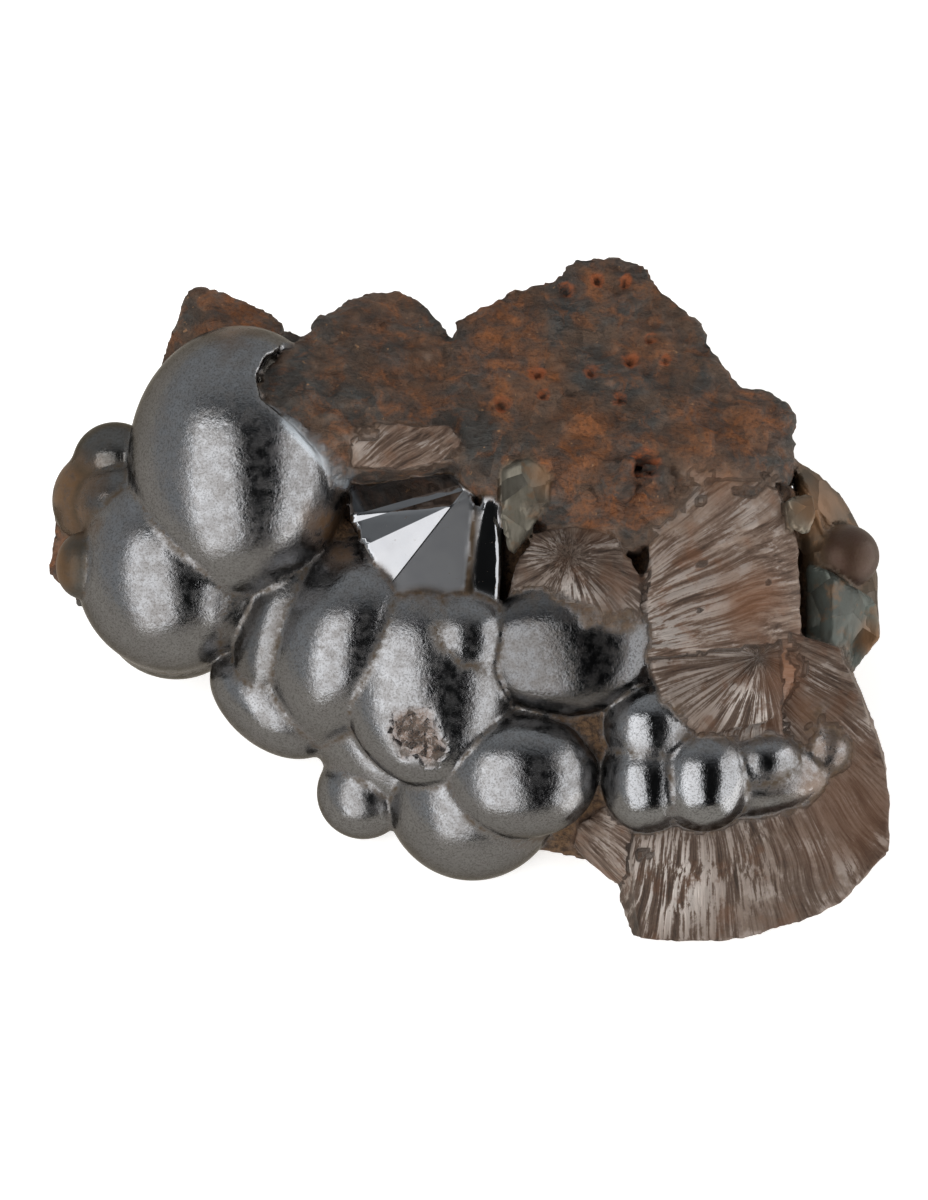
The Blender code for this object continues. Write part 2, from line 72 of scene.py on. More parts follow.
# The rounded lobes: centre, radii, turn about z in degrees
LOBES = {
    "crown": ((-37.5, 22.4, -1.5), (18.6, 23.3, 18.6), 0),
    "left": ((-49.2, 5.3, -5.0), (15.8, 17.4, 15.5), 0),
    "left_under": ((-48.8, -1.0, -11.0), (12.8, 12.4, 12.8), 0),
    "left_top": ((-58.8, 22.8, -9.0), (7.4, 7.3, 7.4), 0),
    "left_edge": ((-62.3, 16.9, -9.5), (7.3, 8.2, 7.5), 0),
    "left_cheek": ((-57.0, 16.0, -6.0), (8.6, 7.2, 8.6), 0),
    "wedge": ((-39.8, 1.7, -3.0), (8.5, 10.5, 9.0), 0),
    "sliver": ((-30.3, -4.2, 0.0), (7.0, 13.5, 8.0), -20),
    "shoulder": ((-19.0, -6.5, -10.0), (16.0, 20.5, 24.5), -26),
    "chest": ((-6.0, -13.6, 6.4), (14.2, 17.4, 9.0), 5),
    "skirt": ((-15.4, -20.3, -7.0), (11.0, 19.2, 12.5), 36),
    "low_left": ((-32.0, -17.2, -5.0), (12.0, 7.6, 10.0), -38),
    "low_mid": ((-17.0, -32.4, -6.0), (7.8, 7.8, 7.8), 0),
    "belly": ((1.5, -32.2, -5.0), (14.8, 14.8, 14.8), 0),
    "belly_front": ((5.0, -30.2, -1.8), (12.6, 12.6, 12.0), 0),
    "bead": ((9.6, -28.8, 6.4), (12.6, 10.6, 9.2), 0),
    "throat": ((-0.3, -6.4, 7.4), (8.5, 8.5, 7.8), 0),
    "throat_small": ((6.6, -11.4, 5.5), (4.6, 5.2, 4.6), 0),
    "cut_lobe": ((17.0, -8.0, 8.4), (15.0, 11.0, 6.6), 0),
    "right_top": ((30.8, -21.0, 7.0), (8.0, 7.6, 8.0), 0),
    "right_left": ((30.2, -29.6, 6.5), (7.6, 8.8, 8.2), 0),
    "right_mid": ((39.4, -29.2, 7.5), (8.2, 9.0, 8.6), 0),
    "right_bar": ((44.0, -28.6, 4.5), (17.0, 7.6, 7.6), 0),
    "right_far": ((49.0, -26.6, 6.5), (7.0, 5.4, 6.5), 8),
    "right_end": ((60.0, -24.6, 4.0), (4.6, 5.6, 5.0), -30),
    "flank_lump": ((63.6, 7.2, -2.0), (5.8, 5.4, 6.4), 0),
    "button": ((-63.6, 5.8, -0.6), (4.4, 5.5, 4.4), 0),
}


def foot(x, y):
    """The point of the resting plane straight behind (x, y) of the face."""
    lean = radians(LEAN_DEG)
    return (x, y, -(FACE_HEIGHT + y * sin(lean)) / cos(lean))


# The broken blocks: surface, corner points of their convex hull
BLOCKS = {
    "core": ("dirt", [
        (-52, 18, -10), (-46, -6, -12), (-26, -22, -9), (0, -36, -7), (20, -36, 0), (40, -32, 3),
        (58, -24, 0), (60, -8, 0), (60, 12, 0), (48, 26, 0), (4, 30, 2), (-30, 36, -6), foot(-48, 10),
        foot(-38, -8), foot(-24, -22), foot(-6, -37), foot(6, -41), foot(26, -45), foot(60, -42),
        foot(62, -20), foot(62, 0), foot(54, 14), foot(36, 28), foot(18, 32), foot(-10, 28), foot(-30, 25),
        foot(-44, 22)]),
    "rust_flank": ("crust", [
        (-70.6, 5, -10), (-69.6, 13.5, -11), (-68, 19, -11), (-66, 2, -7.5), (-60, -2.5, -8),
        (-57, -7, -12), (-62, 12, -5), (-64, -1.5, -12), (-55, 5, -20), (-60, 15, -20)]),
    "back_shard": ("crust", [
        (-53.4, 35.2, -13), (-49.4, 46.4, -14.5), (-47.0, 53.0, -15), (-45, 53.6, -15), (-38.3, 51.4, -17),
        (-33.3, 49.2, -17), (-30.7, 47, -16), (-30.9, 45.6, -15), (-43, 51.4, -13), (-37.8, 44, -8),
        (-34, 40, -6), (-44, 30, -10), foot(-46, 27), foot(-32, 26), foot(-40, 10)]),
    "between_lobes": ("dirt", [
        (-20, 10, 2), (-24, 16, -2), (-12, -4, 5), (4, -20, 8), (16, -22, 8.5), (26, -24, 8), (26, -34, 3),
        (18, -38, -2), (0, -30, 0), (10, -4, 6), (-24, 0, -4), (30, -20, 8), (52, -30, 2)]),
    "crust_left": ("crust", [
        (-24.3, 46.7, -6), (-19, 51.5, -9), (-11.3, 52.6, -9), (-6.6, 50, -8), (-2.4, 44.6, -5),
        (-33.2, 34, 11.2), (-33.4, 37, 9.2), (-30, 41.4, 4.0), (-29.2, 29, 11.8), (-19.5, 20.6, 9),
        (-1, 23, 9), (8, 30, 4), foot(-28, 25), foot(-18, 28), foot(0, 28), foot(-20, 10), foot(6, 10)]),
    "crown_seat": ("crust", [
        (-31, 45.8, -8), (-26, 44.2, -6), (-30, 36, 0), (-22, 40, 0), foot(-30, 24), foot(-24, 26)]),
    "crown_lip": ("grey", [
        (-29.4, 30.2, 12.5), (-27.6, 29.6, 12), (-18.6, 20.4, 8.4), (-19.2, 18.2, 8.2), (-22, 19, 8),
        (-29.2, 27.5, 11), (-28, 26, 0), (-20, 18, 0)]),
    "shelf": ("rays", [
        (-18.4, 22.0, 11), (-18.2, 26.5, 11), (-15, 29, 10), (-3, 29, 9.5), (-0.5, 26, 10.5),
        (-4, 22.6, 11), (-10, 21.2, 11.2), (-12, 24, -5), (-18, 22, -4), (0, 24, -4)]),
    "crust_mid": ("crust", [
        (-1.3, 46.7, -5), (5.8, 50.7, -7), (15.8, 54, -8), (37, 49.4, -9), (44.2, 38.7, -5), (48, 34, -3),
        (-4, 30, 7), (0, 20, 8.5), (20, 22, 8), (40, 24, 6), (52, 24, 3), (50, 18, 4), (14, 12, 8),
        (26.5, 7.6, 8.6), foot(0, 24), foot(14, 29), foot(34, 27), foot(44, 22), foot(50, 10), foot(0, 0)]),
    "peak": ("crust", [
        (13.5, 52.5, -8), (18.3, 57.0, -9), (24.2, 58.0, -9.5), (29, 56.8, -9.5), (33, 51.9, -9),
        (36.6, 49.6, -9), (24, 44, -4), (16, 46, -4), foot(18, 32), foot(32, 28)]),
    "corner": ("crust", [
        (46.5, 35.5, -3), (50, 35.8, -4), (52, 34.8, -4), (54.4, 32.3, -3), (55.2, 30.2, -2),
        (54.8, 26.2, 0), (55.6, 23.4, 0), (49, 30, 1.5), (46, 24, 5), (53, 19, 4), foot(46, 16),
        foot(55, 12)]),
    "flank": ("grey", [
        (55, 24, -4), (58.3, 22, -5), (63.3, 18, -7), (65.0, 14.5, -7), (68.8, 8.3, -7), (69.6, 4, -7),
        (69.3, -1, -5), (70.0, -6.6, -6), (67.5, -8.9, -6), (64, -11, -6), (57, 18, 1), (60, 10, 2),
        (63, -3, 3.5), (58, -10, 2), (56, 5, 0), foot(58, 8), foot(64, 0), foot(66, -10), foot(60, -18)]),
    "grey_chip": ("grey", [
        (53.2, 16.8, 6), (57.8, 18, 4.5), (58.6, 14, 5.5), (56.8, 10.5, 6), (54, 12, 6.8), (57, 14, -3),
        (53.5, 14, -3)]),
    "green_face": ("grey", [
        (57, 6, 2), (61, 4.5, 5.0), (66, 1.4, 3), (69, -0.5, 0), (69.5, -6.5, -2), (64, -9.8, 2),
        (60.5, -9.5, 5.2), (58, -16, 4), (56.5, -22, 4), (62, -14, 2), (57, -10, -4), (68, -4, -8)]),
    "fibre_right": ("rays", [
        (28.8, 1.5, 8.5), (30.6, -12, 12.5), (33, -17, 13.5), (39, -22, 13), (50, -20, 12.5),
        (55.4, -12, 9.5), (55.5, 8, 5.6), (51, 21, 3.4), (40, 22, 5.4), (31, 11, 7.6), (48, -9, 12.8),
        (30, 0, -8), (54, 18, -8), (54, -20, -8), (34, -18, -8)]),
    "bright_fan": ("rays", [
        (48.3, -9.6, 13.8), (45, -13, 13.9), (38.5, -21.5, 12.5), (37.8, -23.6, 10.5), (45, -24.6, 9.4),
        (52.8, -24.2, 8.2), (52.6, -20, 10.5), (50.5, -12, 12.4), (50, -20, 0), (40, -20, 0)]),
    "fibre_small": ("rays", [
        (7.2, -2.0, 8), (8.2, 4.5, 9), (11.5, 11, 8.5), (18, 12, 9), (25, 10.5, 9.5), (29.2, 4, 9),
        (29, -3.6, 11.5), (20, -4.4, 14.4), (11.5, -3.3, 11), (17, 8.7, 12.0), (24, 2, 12.8), (10, 0, -5),
        (28, 0, -5), (18, 10, -5)]),
    "mirror": ("mirror", [
        (-19.3, 20.4, 3.0), (-19.2, 13.3, 7), (-16.6, 8.6, 8.2), (-10.8, 1.2, 11), (-6.6, -1.8, 12),
        (0.6, -2.4, 12), (2.4, 14.2, 8), (0.5, 21, 4), (-16, 14, -6), (-4, 0, -4), (2, 16, -6)]),
    "mirror_side": ("mirror", [
        (1.8, 14.2, 8.2), (0.2, -2.4, 12), (5.6, -1.8, 10.6), (6.4, 6, 8.0), (6.2, 16, 7.4),
        (4.5, 20.2, 7.5), (1, 8, -5), (6, 8, -5)]),
    "grey_step": ("grey", [
        (6.4, 21.5, 9.6), (10.5, 23.2, 9.0), (13.8, 20.4, 8.6), (13.4, 15.8, 8.4), (10.8, 10.8, 8.8),
        (7.8, 6.8, 9.4), (5.9, 13.4, 10.2), (9, 14, -4), (11, 20, -4), (8, 20, -4)]),
    "chip_left": ("crust", [
        (21.8, 21.7, 8.2), (24.5, 23.7, 8.0), (27.8, 23.0, 8.2), (29.2, 19.2, 8.6), (26.7, 15.8, 9.2),
        (22.8, 16.7, 9.0), (25.5, 19.5, 11.2), (23, 18, 10.4), (25, 19, 0)]),
    "chip_right": ("crust", [
        (29.4, 22.4, 7.8), (33.8, 21.9, 7.6), (35.4, 18.3, 8.0), (31.7, 15.6, 9.2), (29.4, 17.8, 9.4),
        (32.0, 19.4, 10.6), (32, 19, 0)]),
    "right_facet": ("skin", [
        (55.8, -15, 7.5), (59.5, -12, 5.5), (63.8, -13.3, 3.5), (64.5, -19.2, 3.0), (61.7, -23.3, 5.5),
        (56.7, -22.5, 7.5), (60, -17, 7.8), (60, -18, -6)]),
    "fan_left": ("rays", [
        (17.8, -41.6, -3), (20.8, -44.1, -3.5), (24.2, -46.6, -3.5), (27.0, -48.5, -3), (28.3, -46, 3.5),
        (29.0, -38, 5), (19, -37, 1), (24, -34, 3), foot(20, -38), foot(28, -42), (40, -40, -6)]),
}
# Fibres: where they meet, the radius at which they are a millimetre wide, and their brightness
FIBRES = {
    "shelf": ((-40.0, 2.0, 8.0), 42.0, 0.75),
    "fibre_right": ((-2.5, -16.0, 9.0), 42.0, 0.78),
    "bright_fan": ((48.3, -9.2, 13.0), 12.0, 0.50),
    "fibre_small": ((17.0, 7.2, 10.0), 9.0, 0.45),
    "fan_left": ((8.0, -30.0, 4.0), 22.0, 0.60),
    "fan": ((36.3, -1.3, 5.0), 44.0, 0.48),
}
FIBRE_FLAT = 0.3  # how much less a fibre's depth counts than its place on the face
# The right-hand fibres meet where the bright fan's do below a line: a point of it, its slope, its right end
FIBRE_TURN = (40.0, -8.5, 0.12, 52.0)
# Silvery stretches of the fibres, where painted glints are laid: x, y, radius, strength
SHINE = [
    (34.0, -47.0, 10.0, 0.8), (44.0, -44.0, 7.0, 0.4), (47.5, -18.0, 7.0, 0.8), (32.0, -5.0, 7.0, 0.7),
    (17.5, 0.0, 5.0, 0.8), (36.0, 1.0, 8.0, 0.5), (38.0, -14.0, 6.0, 0.4)]

# The big broken lobe at the lower right: a ball cut by planes (point, outward direction)
FAN_CENTRE = (36.3, -1.3, 5.0)
FAN_RADIUS = 55.3
FAN_TILT = 0.10
FAN_FACE_Z = 5.5
FAN_LEVEL_Y = -45.0
FAN_CUTS = [
    ((28.2, -52.5, 3.0), (-0.97, -0.12, 0.35)),
    ((66.3, -16.7, 0.0), (0.93, 0.36, 0.10)),
    ((66.2, -46.7, 0.0), (0.72, -0.69, 0.10)),
    ((70.6, -33.0, 0.0), (1.0, 0.0, 0.05)),
    ((36.3, -1.3, 0.0), (0.25, 0.97, 0.0)),
    ((36.3, -1.3, 0.0), (-0.98, 0.21, 0.0)),
    ((45.0, FAN_LEVEL_Y, FAN_FACE_Z), (0.0, -FAN_TILT, 1.0)),
]

# The part of the crown lobe that broke away: outline across the face
CROWN_BREAK = [
    (-33.2, 33.0), (-34.0, 36.7), (-32.8, 39.7), (-30.0, 41.8), (-24.5, 43.4), (-22.0, 50.0), (-8.0, 50.0),
    (-8.0, 12.0), (-14.5, 13.5), (-19.6, 19.2), (-28.0, 28.6)]
# Round holes in the crust: x, y, radius
PITS = [
    (12.2, 37.8, 1.3), (13.3, 34.2, 0.9), (6.3, 32.5, 1.3), (21.2, 38.0, 1.1), (28.0, 40.3, 1.4),
    (31.2, 43.7, 1.0), (33.8, 40.0, 0.9), (22.5, 54.0, 1.1), (27.2, 53.6, 1.0), (17.2, 52.4, 1.2),
    (25.8, 33.3, 1.1), (30.0, 22.5, 2.2)]
# Where the middle lobe was struck: x, y, radius, depth
BRUISES = [(-8.3, -21.6, 4.6, 0.6), (-5.6, -24.2, 3.0, 0.5)]
# Where rust has settled: x, y, radius, strength
RUST = [
    (-37.5, 49.2, 6.5, 1.0), (-67.5, 19.2, 6.0, 0.8), (-69.5, 6.7, 5.0, 0.9), (-65.0, 13.5, 4.0, 0.7),
    (-22.0, 12.5, 4.0, 0.9), (-20.0, 8.0, 3.0, 0.7), (-14.2, 48.3, 6.0, 0.5),
    (-7.5, 36.7, 7.0, 0.5), (5.8, 45.8, 8.0, 0.7), (12.5, 38.3, 4.0, 0.9), (8.3, 33.3, 4.0, 0.8),
    (20.0, 26.7, 6.0, 1.0), (15.8, 21.7, 4.0, 0.8), (22.5, 14.2, 4.0, 0.9), (29.2, 16.7, 4.0, 0.7),
    (39.2, 28.3, 6.0, 0.7), (47.5, 29.2, 5.0, 1.0), (30.8, 42.5, 5.0, 0.6), (22.5, 54.2, 5.0, 0.5),
    (46.7, 0.0, 5.0, 0.7), (42.5, 21.7, 5.0, 0.5), (58.5, 15.0, 4.0, 0.8), (68.3, -6.7, 3.0, 0.8),
    (53.0, -12.5, 4.0, 1.0), (55.5, -18.0, 3.5, 0.8),
    (63.0, -34.0, 10.0, 0.55), (60.0, -22.0, 5.0, 0.5)]

# The bright flat break: the plane it follows, and how its front leans from that plane.
# After each fold, a line of the face, the slope changes: a point of the line, the
# direction across it, and the change
MIRROR_SPOT = (-11.5, 15.1, 7.4)
MIRROR_PLANE = (0.04, -0.25)
MIRROR_SLOPE = (0.204, -0.239)
MIRROR_FOLDS = [
    ((-11.3, 16.0), (0.279, -0.960), -0.40), ((-11.2, 14.8), (0.282, -0.959), 0.30),
    ((-10.3, 11.8), (0.426, -0.905), -0.32), ((-6.0, 10.5), (0.790, -0.613), -0.20)]

# Films and stains of single shapes, and painted shade where a lobe mirrors the dark: colour on screen, how
# much of the metal it hides
FILMS_AND_SHADE = {
    "left_top": ((58, 56, 49), 0.58), "left_edge": ((66, 54, 36), 0.60),
    "left_cheek": ((56, 54, 48), 0.50), "left_under": ((62, 60, 54), 0.30),
    "button": ((50, 46, 38), 0.90), "sliver": ((54, 50, 42), 0.30), "wedge": ((60, 54, 42), 0.30),
    "flank_lump": ((60, 38, 26), 0.95), "grey_chip": ((128, 126, 115), 1.00),
    "green_face": ((84, 90, 85), 1.00), "flank": ((76, 62, 48), 1.00),
    "grey_step": ((104, 100, 90), 1.00), "right_facet": ((38, 44, 56), 0.60),
    # painted shade: the cut lobe's near-black film stands in for the dark it mirrors
    "cut_lobe": ((20, 20, 22), 0.48),
    "crown_lip": ((120, 125, 130), 1.00)}
# The painted highlight along the crown's break, a pale bevel: from, to, half width
LIP_HIGHLIGHT = ((-28.8, 29.2), (-19.5, 19.2), 1.3)

ZONES = ["skin", "mirror", "grey", "crust", "rays", "dirt"]
LEAN = radians(LEAN_DEG)
UP = np.array([0.0, sin(LEAN), cos(LEAN)])  # world up, as a face direction


# ---- distances
def length(v):
    """Lengths of vectors in rows."""
    return np.sqrt((v * v).sum(-1))


def ellipsoid_distance(p, centre, radii, turn):
    """Signed distance to an ellipsoid, close enough near its surface."""
    q = p - np.array(centre)
    if turn:
        c, s = cos(radians(-turn)), sin(radians(-turn))
        q = np.stack([q[..., 0] * c - q[..., 1] * s, q[..., 0] * s + q[..., 1] * c, q[..., 2]], -1)
    radii = np.array(radii)
    near = length(q / radii)
    return near * (near - 1.0) / np.maximum(length(q / radii ** 2), 1e-9)


def hull_planes(corners):
    """Outward planes (normal, offset) of the convex hull of the corners."""
    shape = bmesh.new()
    for corner in corners:
        shape.verts.new(corner)
    bmesh.ops.convex_hull(shape, input=shape.verts[:])
    middle = Vector(np.mean(corners, axis=0))
    planes = {}
    for face in shape.faces:
        if face.calc_area() < SMALLEST_FACE:
            continue
        normal = face.normal.normalized()
        point = face.calc_center_median()
        if (point - middle).dot(normal) < 0.0:
            normal.negate()
        offset = point.dot(normal)
        planes[tuple(round(value, 3) for value in (*normal, offset))] = (*normal, offset)
    shape.free()
    return np.array(list(planes.values()))


def planes_distance(p, planes):
    """Distance to a convex block: the farthest of its planes."""
    best = p @ planes[0, :3] - planes[0, 3]
    for normal_x, normal_y, normal_z, offset in planes[1:]:
        along = p[..., 0] * normal_x + p[..., 1] * normal_y + p[..., 2] * normal_z
        best = np.maximum(best, along - offset)
    return best


def outline_distance(p, outline):
    """Signed distance, across the face, to a closed outline: negative inside it."""
    corners = np.array(outline)
    x, y = p[..., 0], p[..., 1]
    best = np.full(x.shape, 1e9)
    inside = np.zeros(x.shape, bool)
    for (ax, ay), (bx, by) in zip(corners, np.roll(corners, -1, axis=0)):
        ex, ey = bx - ax, by - ay
        along = np.clip(((x - ax) * ex + (y - ay) * ey) / (ex * ex + ey * ey), 0.0, 1.0)
        best = np.minimum(best, np.hypot(x - ax - along * ex, y - ay - along * ey))
        crosses = ((ay > y) != (by > y)) & (x < ex * (y - ay) / (ey if ey else 1e-9) + ax)
        inside ^= crosses
    return np.where(inside, -best, best)


def unit_planes(planes):
    """Planes given by a point and an outward direction, as (normal, offset)."""
    rows = []
    for point, outward in planes:
        normal = np.array(outward) / np.linalg.norm(outward)
        rows.append((*normal, float(normal @ np.array(point))))
    return np.array(rows)


BLOCK_PLANES = {name: hull_planes(corners) for name, (_, corners) in BLOCKS.items()}
FAN_PLANES = unit_planes(FAN_CUTS)
SHAPES = list(LOBES) + list(BLOCKS) + ["fan"]
SURFACES = ["skin"] * len(LOBES) + [surface for surface, _ in BLOCKS.values()] + ["rays"]
SHAPE_ZONE = [ZONES.index(surface) for surface in SURFACES]


def shape_distance(index, p):
    """Signed distance to one shape."""
    name = SHAPES[index]
    if name in LOBES:
        distance = ellipsoid_distance(p, *LOBES[name])
        if name == "crown":
            distance = np.maximum(distance, -outline_distance(p, CROWN_BREAK))
        return distance
    if name == "fan":
        return np.maximum(length(p - np.array(FAN_CENTRE)) - FAN_RADIUS, planes_distance(p, FAN_PLANES))
    return planes_distance(p, BLOCK_PLANES[name])


def enclosing_balls():
    """A centre and a radius around each shape, to leave out shapes that are far away."""
    balls = []
    for name in SHAPES:
        if name in LOBES:
            centre, radii, _ = LOBES[name]
            balls.append((*centre, max(radii)))
        elif name == "fan":
            balls.append((*FAN_CENTRE, FAN_RADIUS))
        else:
            corners = np.array(BLOCKS[name][1])
            middle = corners.mean(0)
            balls.append((*middle, length(corners - middle).max()))
    return np.array(balls)


BALLS = enclosing_balls()


def shape_table(p):
    """Distances of all shapes (columns) at points near the surface; far shapes get FAR."""
    table = np.full((len(p), len(SHAPES)), FAR, np.float32)
    keys = np.floor(p / GROUP).astype(np.int64) + GROUPS // 2
    keys = (keys[:, 0] * GROUPS + keys[:, 1]) * GROUPS + keys[:, 2]
    order = np.argsort(keys, kind="stable")
    starts = np.flatnonzero(np.diff(keys[order], prepend=-1))
    for start, end in zip(starts, np.append(starts[1:], len(p))):
        rows = order[start:end]
        group = p[rows]
        low, high = group.min(0), group.max(0)
        reach = length(high - low) / 2.0 + FAR
        apart = length(BALLS[:, :3] - (low + high) / 2.0) - BALLS[:, 3]
        for index in np.flatnonzero(apart < reach):
            table[rows, index] = shape_distance(index, group)
    return table


def join(a, b, radius):
    """The nearer of two distances, with a fillet where they are alike."""
    share = np.maximum(radius - np.abs(a - b), 0.0) / radius
    return np.minimum(a, b) - share * share * radius * 0.25


def specimen_distance(p):
    """Distance to the whole specimen, down to the plane it rests on."""
    table = shape_table(p)
    total = np.full(len(p), 1e3)
    for index in range(len(SHAPES)):
        total = join(total, table[:, index], JOIN)
    return np.maximum(total, -FACE_HEIGHT - p @ UP)


# ---- noise
def hash3(cells, seed):
    """Repeatable pseudo-random numbers in 0..1 for integer cells."""
    value = cells[..., 0] * 374761393 + cells[..., 1] * 668265263 + cells[..., 2] * 2147483647
    value = value + seed * 1274126177
    value = (value ^ (value >> 13)) * 1274126177
    value = value ^ (value >> 16)
    return (value & 0xFFFFFF) / float(0xFFFFFF)


def smooth_noise(p, size, seed):
    """Value noise in -1..1 with features of this size."""
    q = p / size
    base = np.floor(q).astype(np.int64)
    f = q - base
    f = f * f * f * (f * (f * 6.0 - 15.0) + 10.0)
    total = 0.0
    for corner in np.ndindex(2, 2, 2):
        offset = np.array(corner[::-1])
        weight = np.prod(np.where(offset, f, 1.0 - f), axis=-1)
        total = total + weight * hash3(base + offset, seed)
    return total * 2.0 - 1.0


def layered_noise(p, size, seed, layers=3):
    """Smooth noise with finer and weaker layers on top of it."""
    total = 0.0
    for layer in range(layers):
        total = total + smooth_noise(p, size / 2.0 ** layer, seed + layer) / 2.0 ** layer
    return total


def cell_noise(p, size, seed):
    """Nearest and second nearest distance to scattered points, and the nearest one's number."""
    q = p / size
    base = np.floor(q).astype(np.int64)
    first = np.full(q.shape[:-1], 9.0)
    second = np.full(q.shape[:-1], 9.0)
    number = np.zeros(q.shape[:-1])
    for neighbour in np.ndindex(3, 3, 3):
        cell = base + np.array(neighbour) - 1
        spot = cell + np.stack([hash3(cell, seed + axis) for axis in range(3)], -1)
        distance = length(q - spot)
        nearer = distance < first
        second = np.where(nearer, first, np.minimum(second, distance))
        number = np.where(nearer, hash3(cell, seed + 3), number)
        first = np.where(nearer, distance, first)
    return first, second, number


# ---- meshing
def graded(low, high, fine_above):
    """z levels from the hidden back, widely spaced, to the front, finely spaced."""
    levels = [high]
    while levels[-1] > low:
        depth = max(0.0, fine_above - levels[-1])
        levels.append(levels[-1] - min(CELL_DEEP, CELL + depth * CELL_GROWTH))
    return np.array(levels[::-1])


def sample_grid(xs, ys, zs):
    """Distances at the grid's nodes: exact near the surface, only in sign away from it."""
    shape = (len(xs), len(ys), len(zs))
    values = np.full(shape, DEEP, np.float32)
    near = np.zeros(shape, bool)
    starts = [range(0, size - 1, BLOCK_CELLS) for size in shape]
    blocks = np.array([(i, j, k) for i in starts[0] for j in starts[1] for k in starts[2]])
    ends = np.minimum(blocks + BLOCK_CELLS, np.array(shape) - 1)
    low = np.stack([xs[blocks[:, 0]], ys[blocks[:, 1]], zs[blocks[:, 2]]], -1)
    high = np.stack([xs[ends[:, 0]], ys[ends[:, 1]], zs[ends[:, 2]]], -1)
    middle = (low + high) / 2.0
    reach = length(high - low) / 2.0
    distance = np.min([shape_distance(index, middle) for index in range(len(SHAPES))], axis=0)
    distance = np.maximum(distance, -FACE_HEIGHT - middle @ UP)
    for (i, j, k), (ei, ej, ek), d, r in zip(blocks, ends, distance, reach):
        if d < -CLEARANCE * r:
            values[i:ei + 1, j:ej + 1, k:ek + 1] = -DEEP
        elif d <= CLEARANCE * r:
            near[i:ei + 1, j:ej + 1, k:ek + 1] = True
    nodes = np.argwhere(near)
    for start in range(0, len(nodes), BATCH):
        part = nodes[start:start + BATCH]
        p = np.stack([xs[part[:, 0]], ys[part[:, 1]], zs[part[:, 2]]], -1)
        values[part[:, 0], part[:, 1], part[:, 2]] = specimen_distance(p)
    return values


def surface_net(values, xs, ys, zs):
    """One point in each cell that the surface crosses, and one quad across each crossed edge."""
    inside = values < 0.0
    nx, ny, nz = values.shape
    total = np.zeros((nx - 1, ny - 1, nz - 1), np.int8)
    for di, dj, dk in np.ndindex(2, 2, 2):
        total += inside[di:nx - 1 + di, dj:ny - 1 + dj, dk:nz - 1 + dk]
    crossed = (total > 0) & (total < 8)
    cells = np.argwhere(crossed)
    number = np.full(crossed.shape, -1, np.int64)
    number[crossed] = np.arange(len(cells))
    axes = [xs, ys, zs]
    sums = np.zeros((len(cells), 3))
    counts = np.zeros(len(cells))
    quads = []
    for axis in range(3):
        lower = [slice(None)] * 3
        upper = [slice(None)] * 3
        lower[axis] = slice(0, -1)
        upper[axis] = slice(1, None)
        a, b = inside[tuple(lower)], inside[tuple(upper)]
        edges = np.argwhere(a != b)
        va = values[edges[:, 0], edges[:, 1], edges[:, 2]].astype(float)
        step = np.zeros(3, int)
        step[axis] = 1
        far = edges + step
        vb = values[far[:, 0], far[:, 1], far[:, 2]].astype(float)
        share = va / (va - vb)
        spot = np.stack([axes[n][edges[:, n]] for n in range(3)], -1)
        spot[:, axis] += share * (axes[axis][far[:, axis]] - axes[axis][edges[:, axis]])
        u, v = (axis + 1) % 3, (axis + 2) % 3
        ring = []
        for du, dv in ((0, 0), (-1, 0), (-1, -1), (0, -1)):
            cell = edges.copy()
            cell[:, u] += du
            cell[:, v] += dv
            found = number[cell[:, 0], cell[:, 1], cell[:, 2]]
            np.add.at(sums, found, spot)
            np.add.at(counts, found, 1)
            ring.append(found)
        quad = np.stack(ring, -1)
        flip = ~a[edges[:, 0], edges[:, 1], edges[:, 2]]
        quad[flip] = quad[flip][:, ::-1]
        quads.append(quad)
    return sums / counts[:, None], np.concatenate(quads)


def gradient(p, step=0.08):
    """How fast the distance grows along each axis."""
    parts = []
    for axis in range(3):
        offset = np.zeros(3)
        offset[axis] = step
        parts.append(specimen_distance(p + offset) - specimen_distance(p - offset))
    return np.stack(parts, -1) / (2.0 * step)


def neighbour_mean(points, quads):
    """Mean of the points that each point shares a quad side with."""
    sums = np.zeros_like(points)
    counts = np.zeros(len(points))
    for side in range(4):
        a, b = quads[:, side], quads[:, (side + 1) % 4]
        np.add.at(sums, a, points[b])
        np.add.at(sums, b, points[a])
        np.add.at(counts, a, 1)
        np.add.at(counts, b, 1)
    return sums / counts[:, None]


def settle(points, quads):
    """Even the net out along the surface and pull it onto it."""
    for _ in range(SETTLE_ROUNDS):
        slope = gradient(points)
        normal = slope / np.maximum(length(slope), 0.2)[:, None]
        pull = neighbour_mean(points, quads) - points
        pull -= normal * (pull * normal).sum(-1)[:, None]
        points = points + SETTLE_SHARE * pull
        slope = gradient(points)
        steep = np.maximum((slope * slope).sum(-1), 0.3)
        points = points - slope * (specimen_distance(points) / steep)[:, None]
    return points


# ---- relief and zones
BORDER_WANDER = 0.7  # how far the borders of the broken surfaces stray from their blocks
BORDER_BLUR = 0.22  # width over which one surface turns into the next
GROOVE_WIDTH = 1.0  # width of the groove between two shapes, where dust and painted shade darken it
FAN_REACH = 0.3  # less than 1: the bright fan wins ground from its neighbours
FIBRE_BEND = 0.012  # how much a fibre strays from its straight line
SPOT_EDGE = 1.4  # a spot has faded out at this many of its radii
# Heights of the relief, in millimetres
SWELL = 0.16  # slow waves of the lobes
CHUNK = 1.3
FLAKE = 0.55
CRUST_GRAIN = 0.45
EARTH_GRAIN = 0.35
GREY_WAVE = 0.25
WIDE_SPLINTER = 0.7
THIN_SPLINTER = 0.3
FIBRE_WAVE = 0.35
BRUISE_CHIP = 0.5
MIRROR_PUSH = 0.6  # most that the bright flat break moves onto its plane
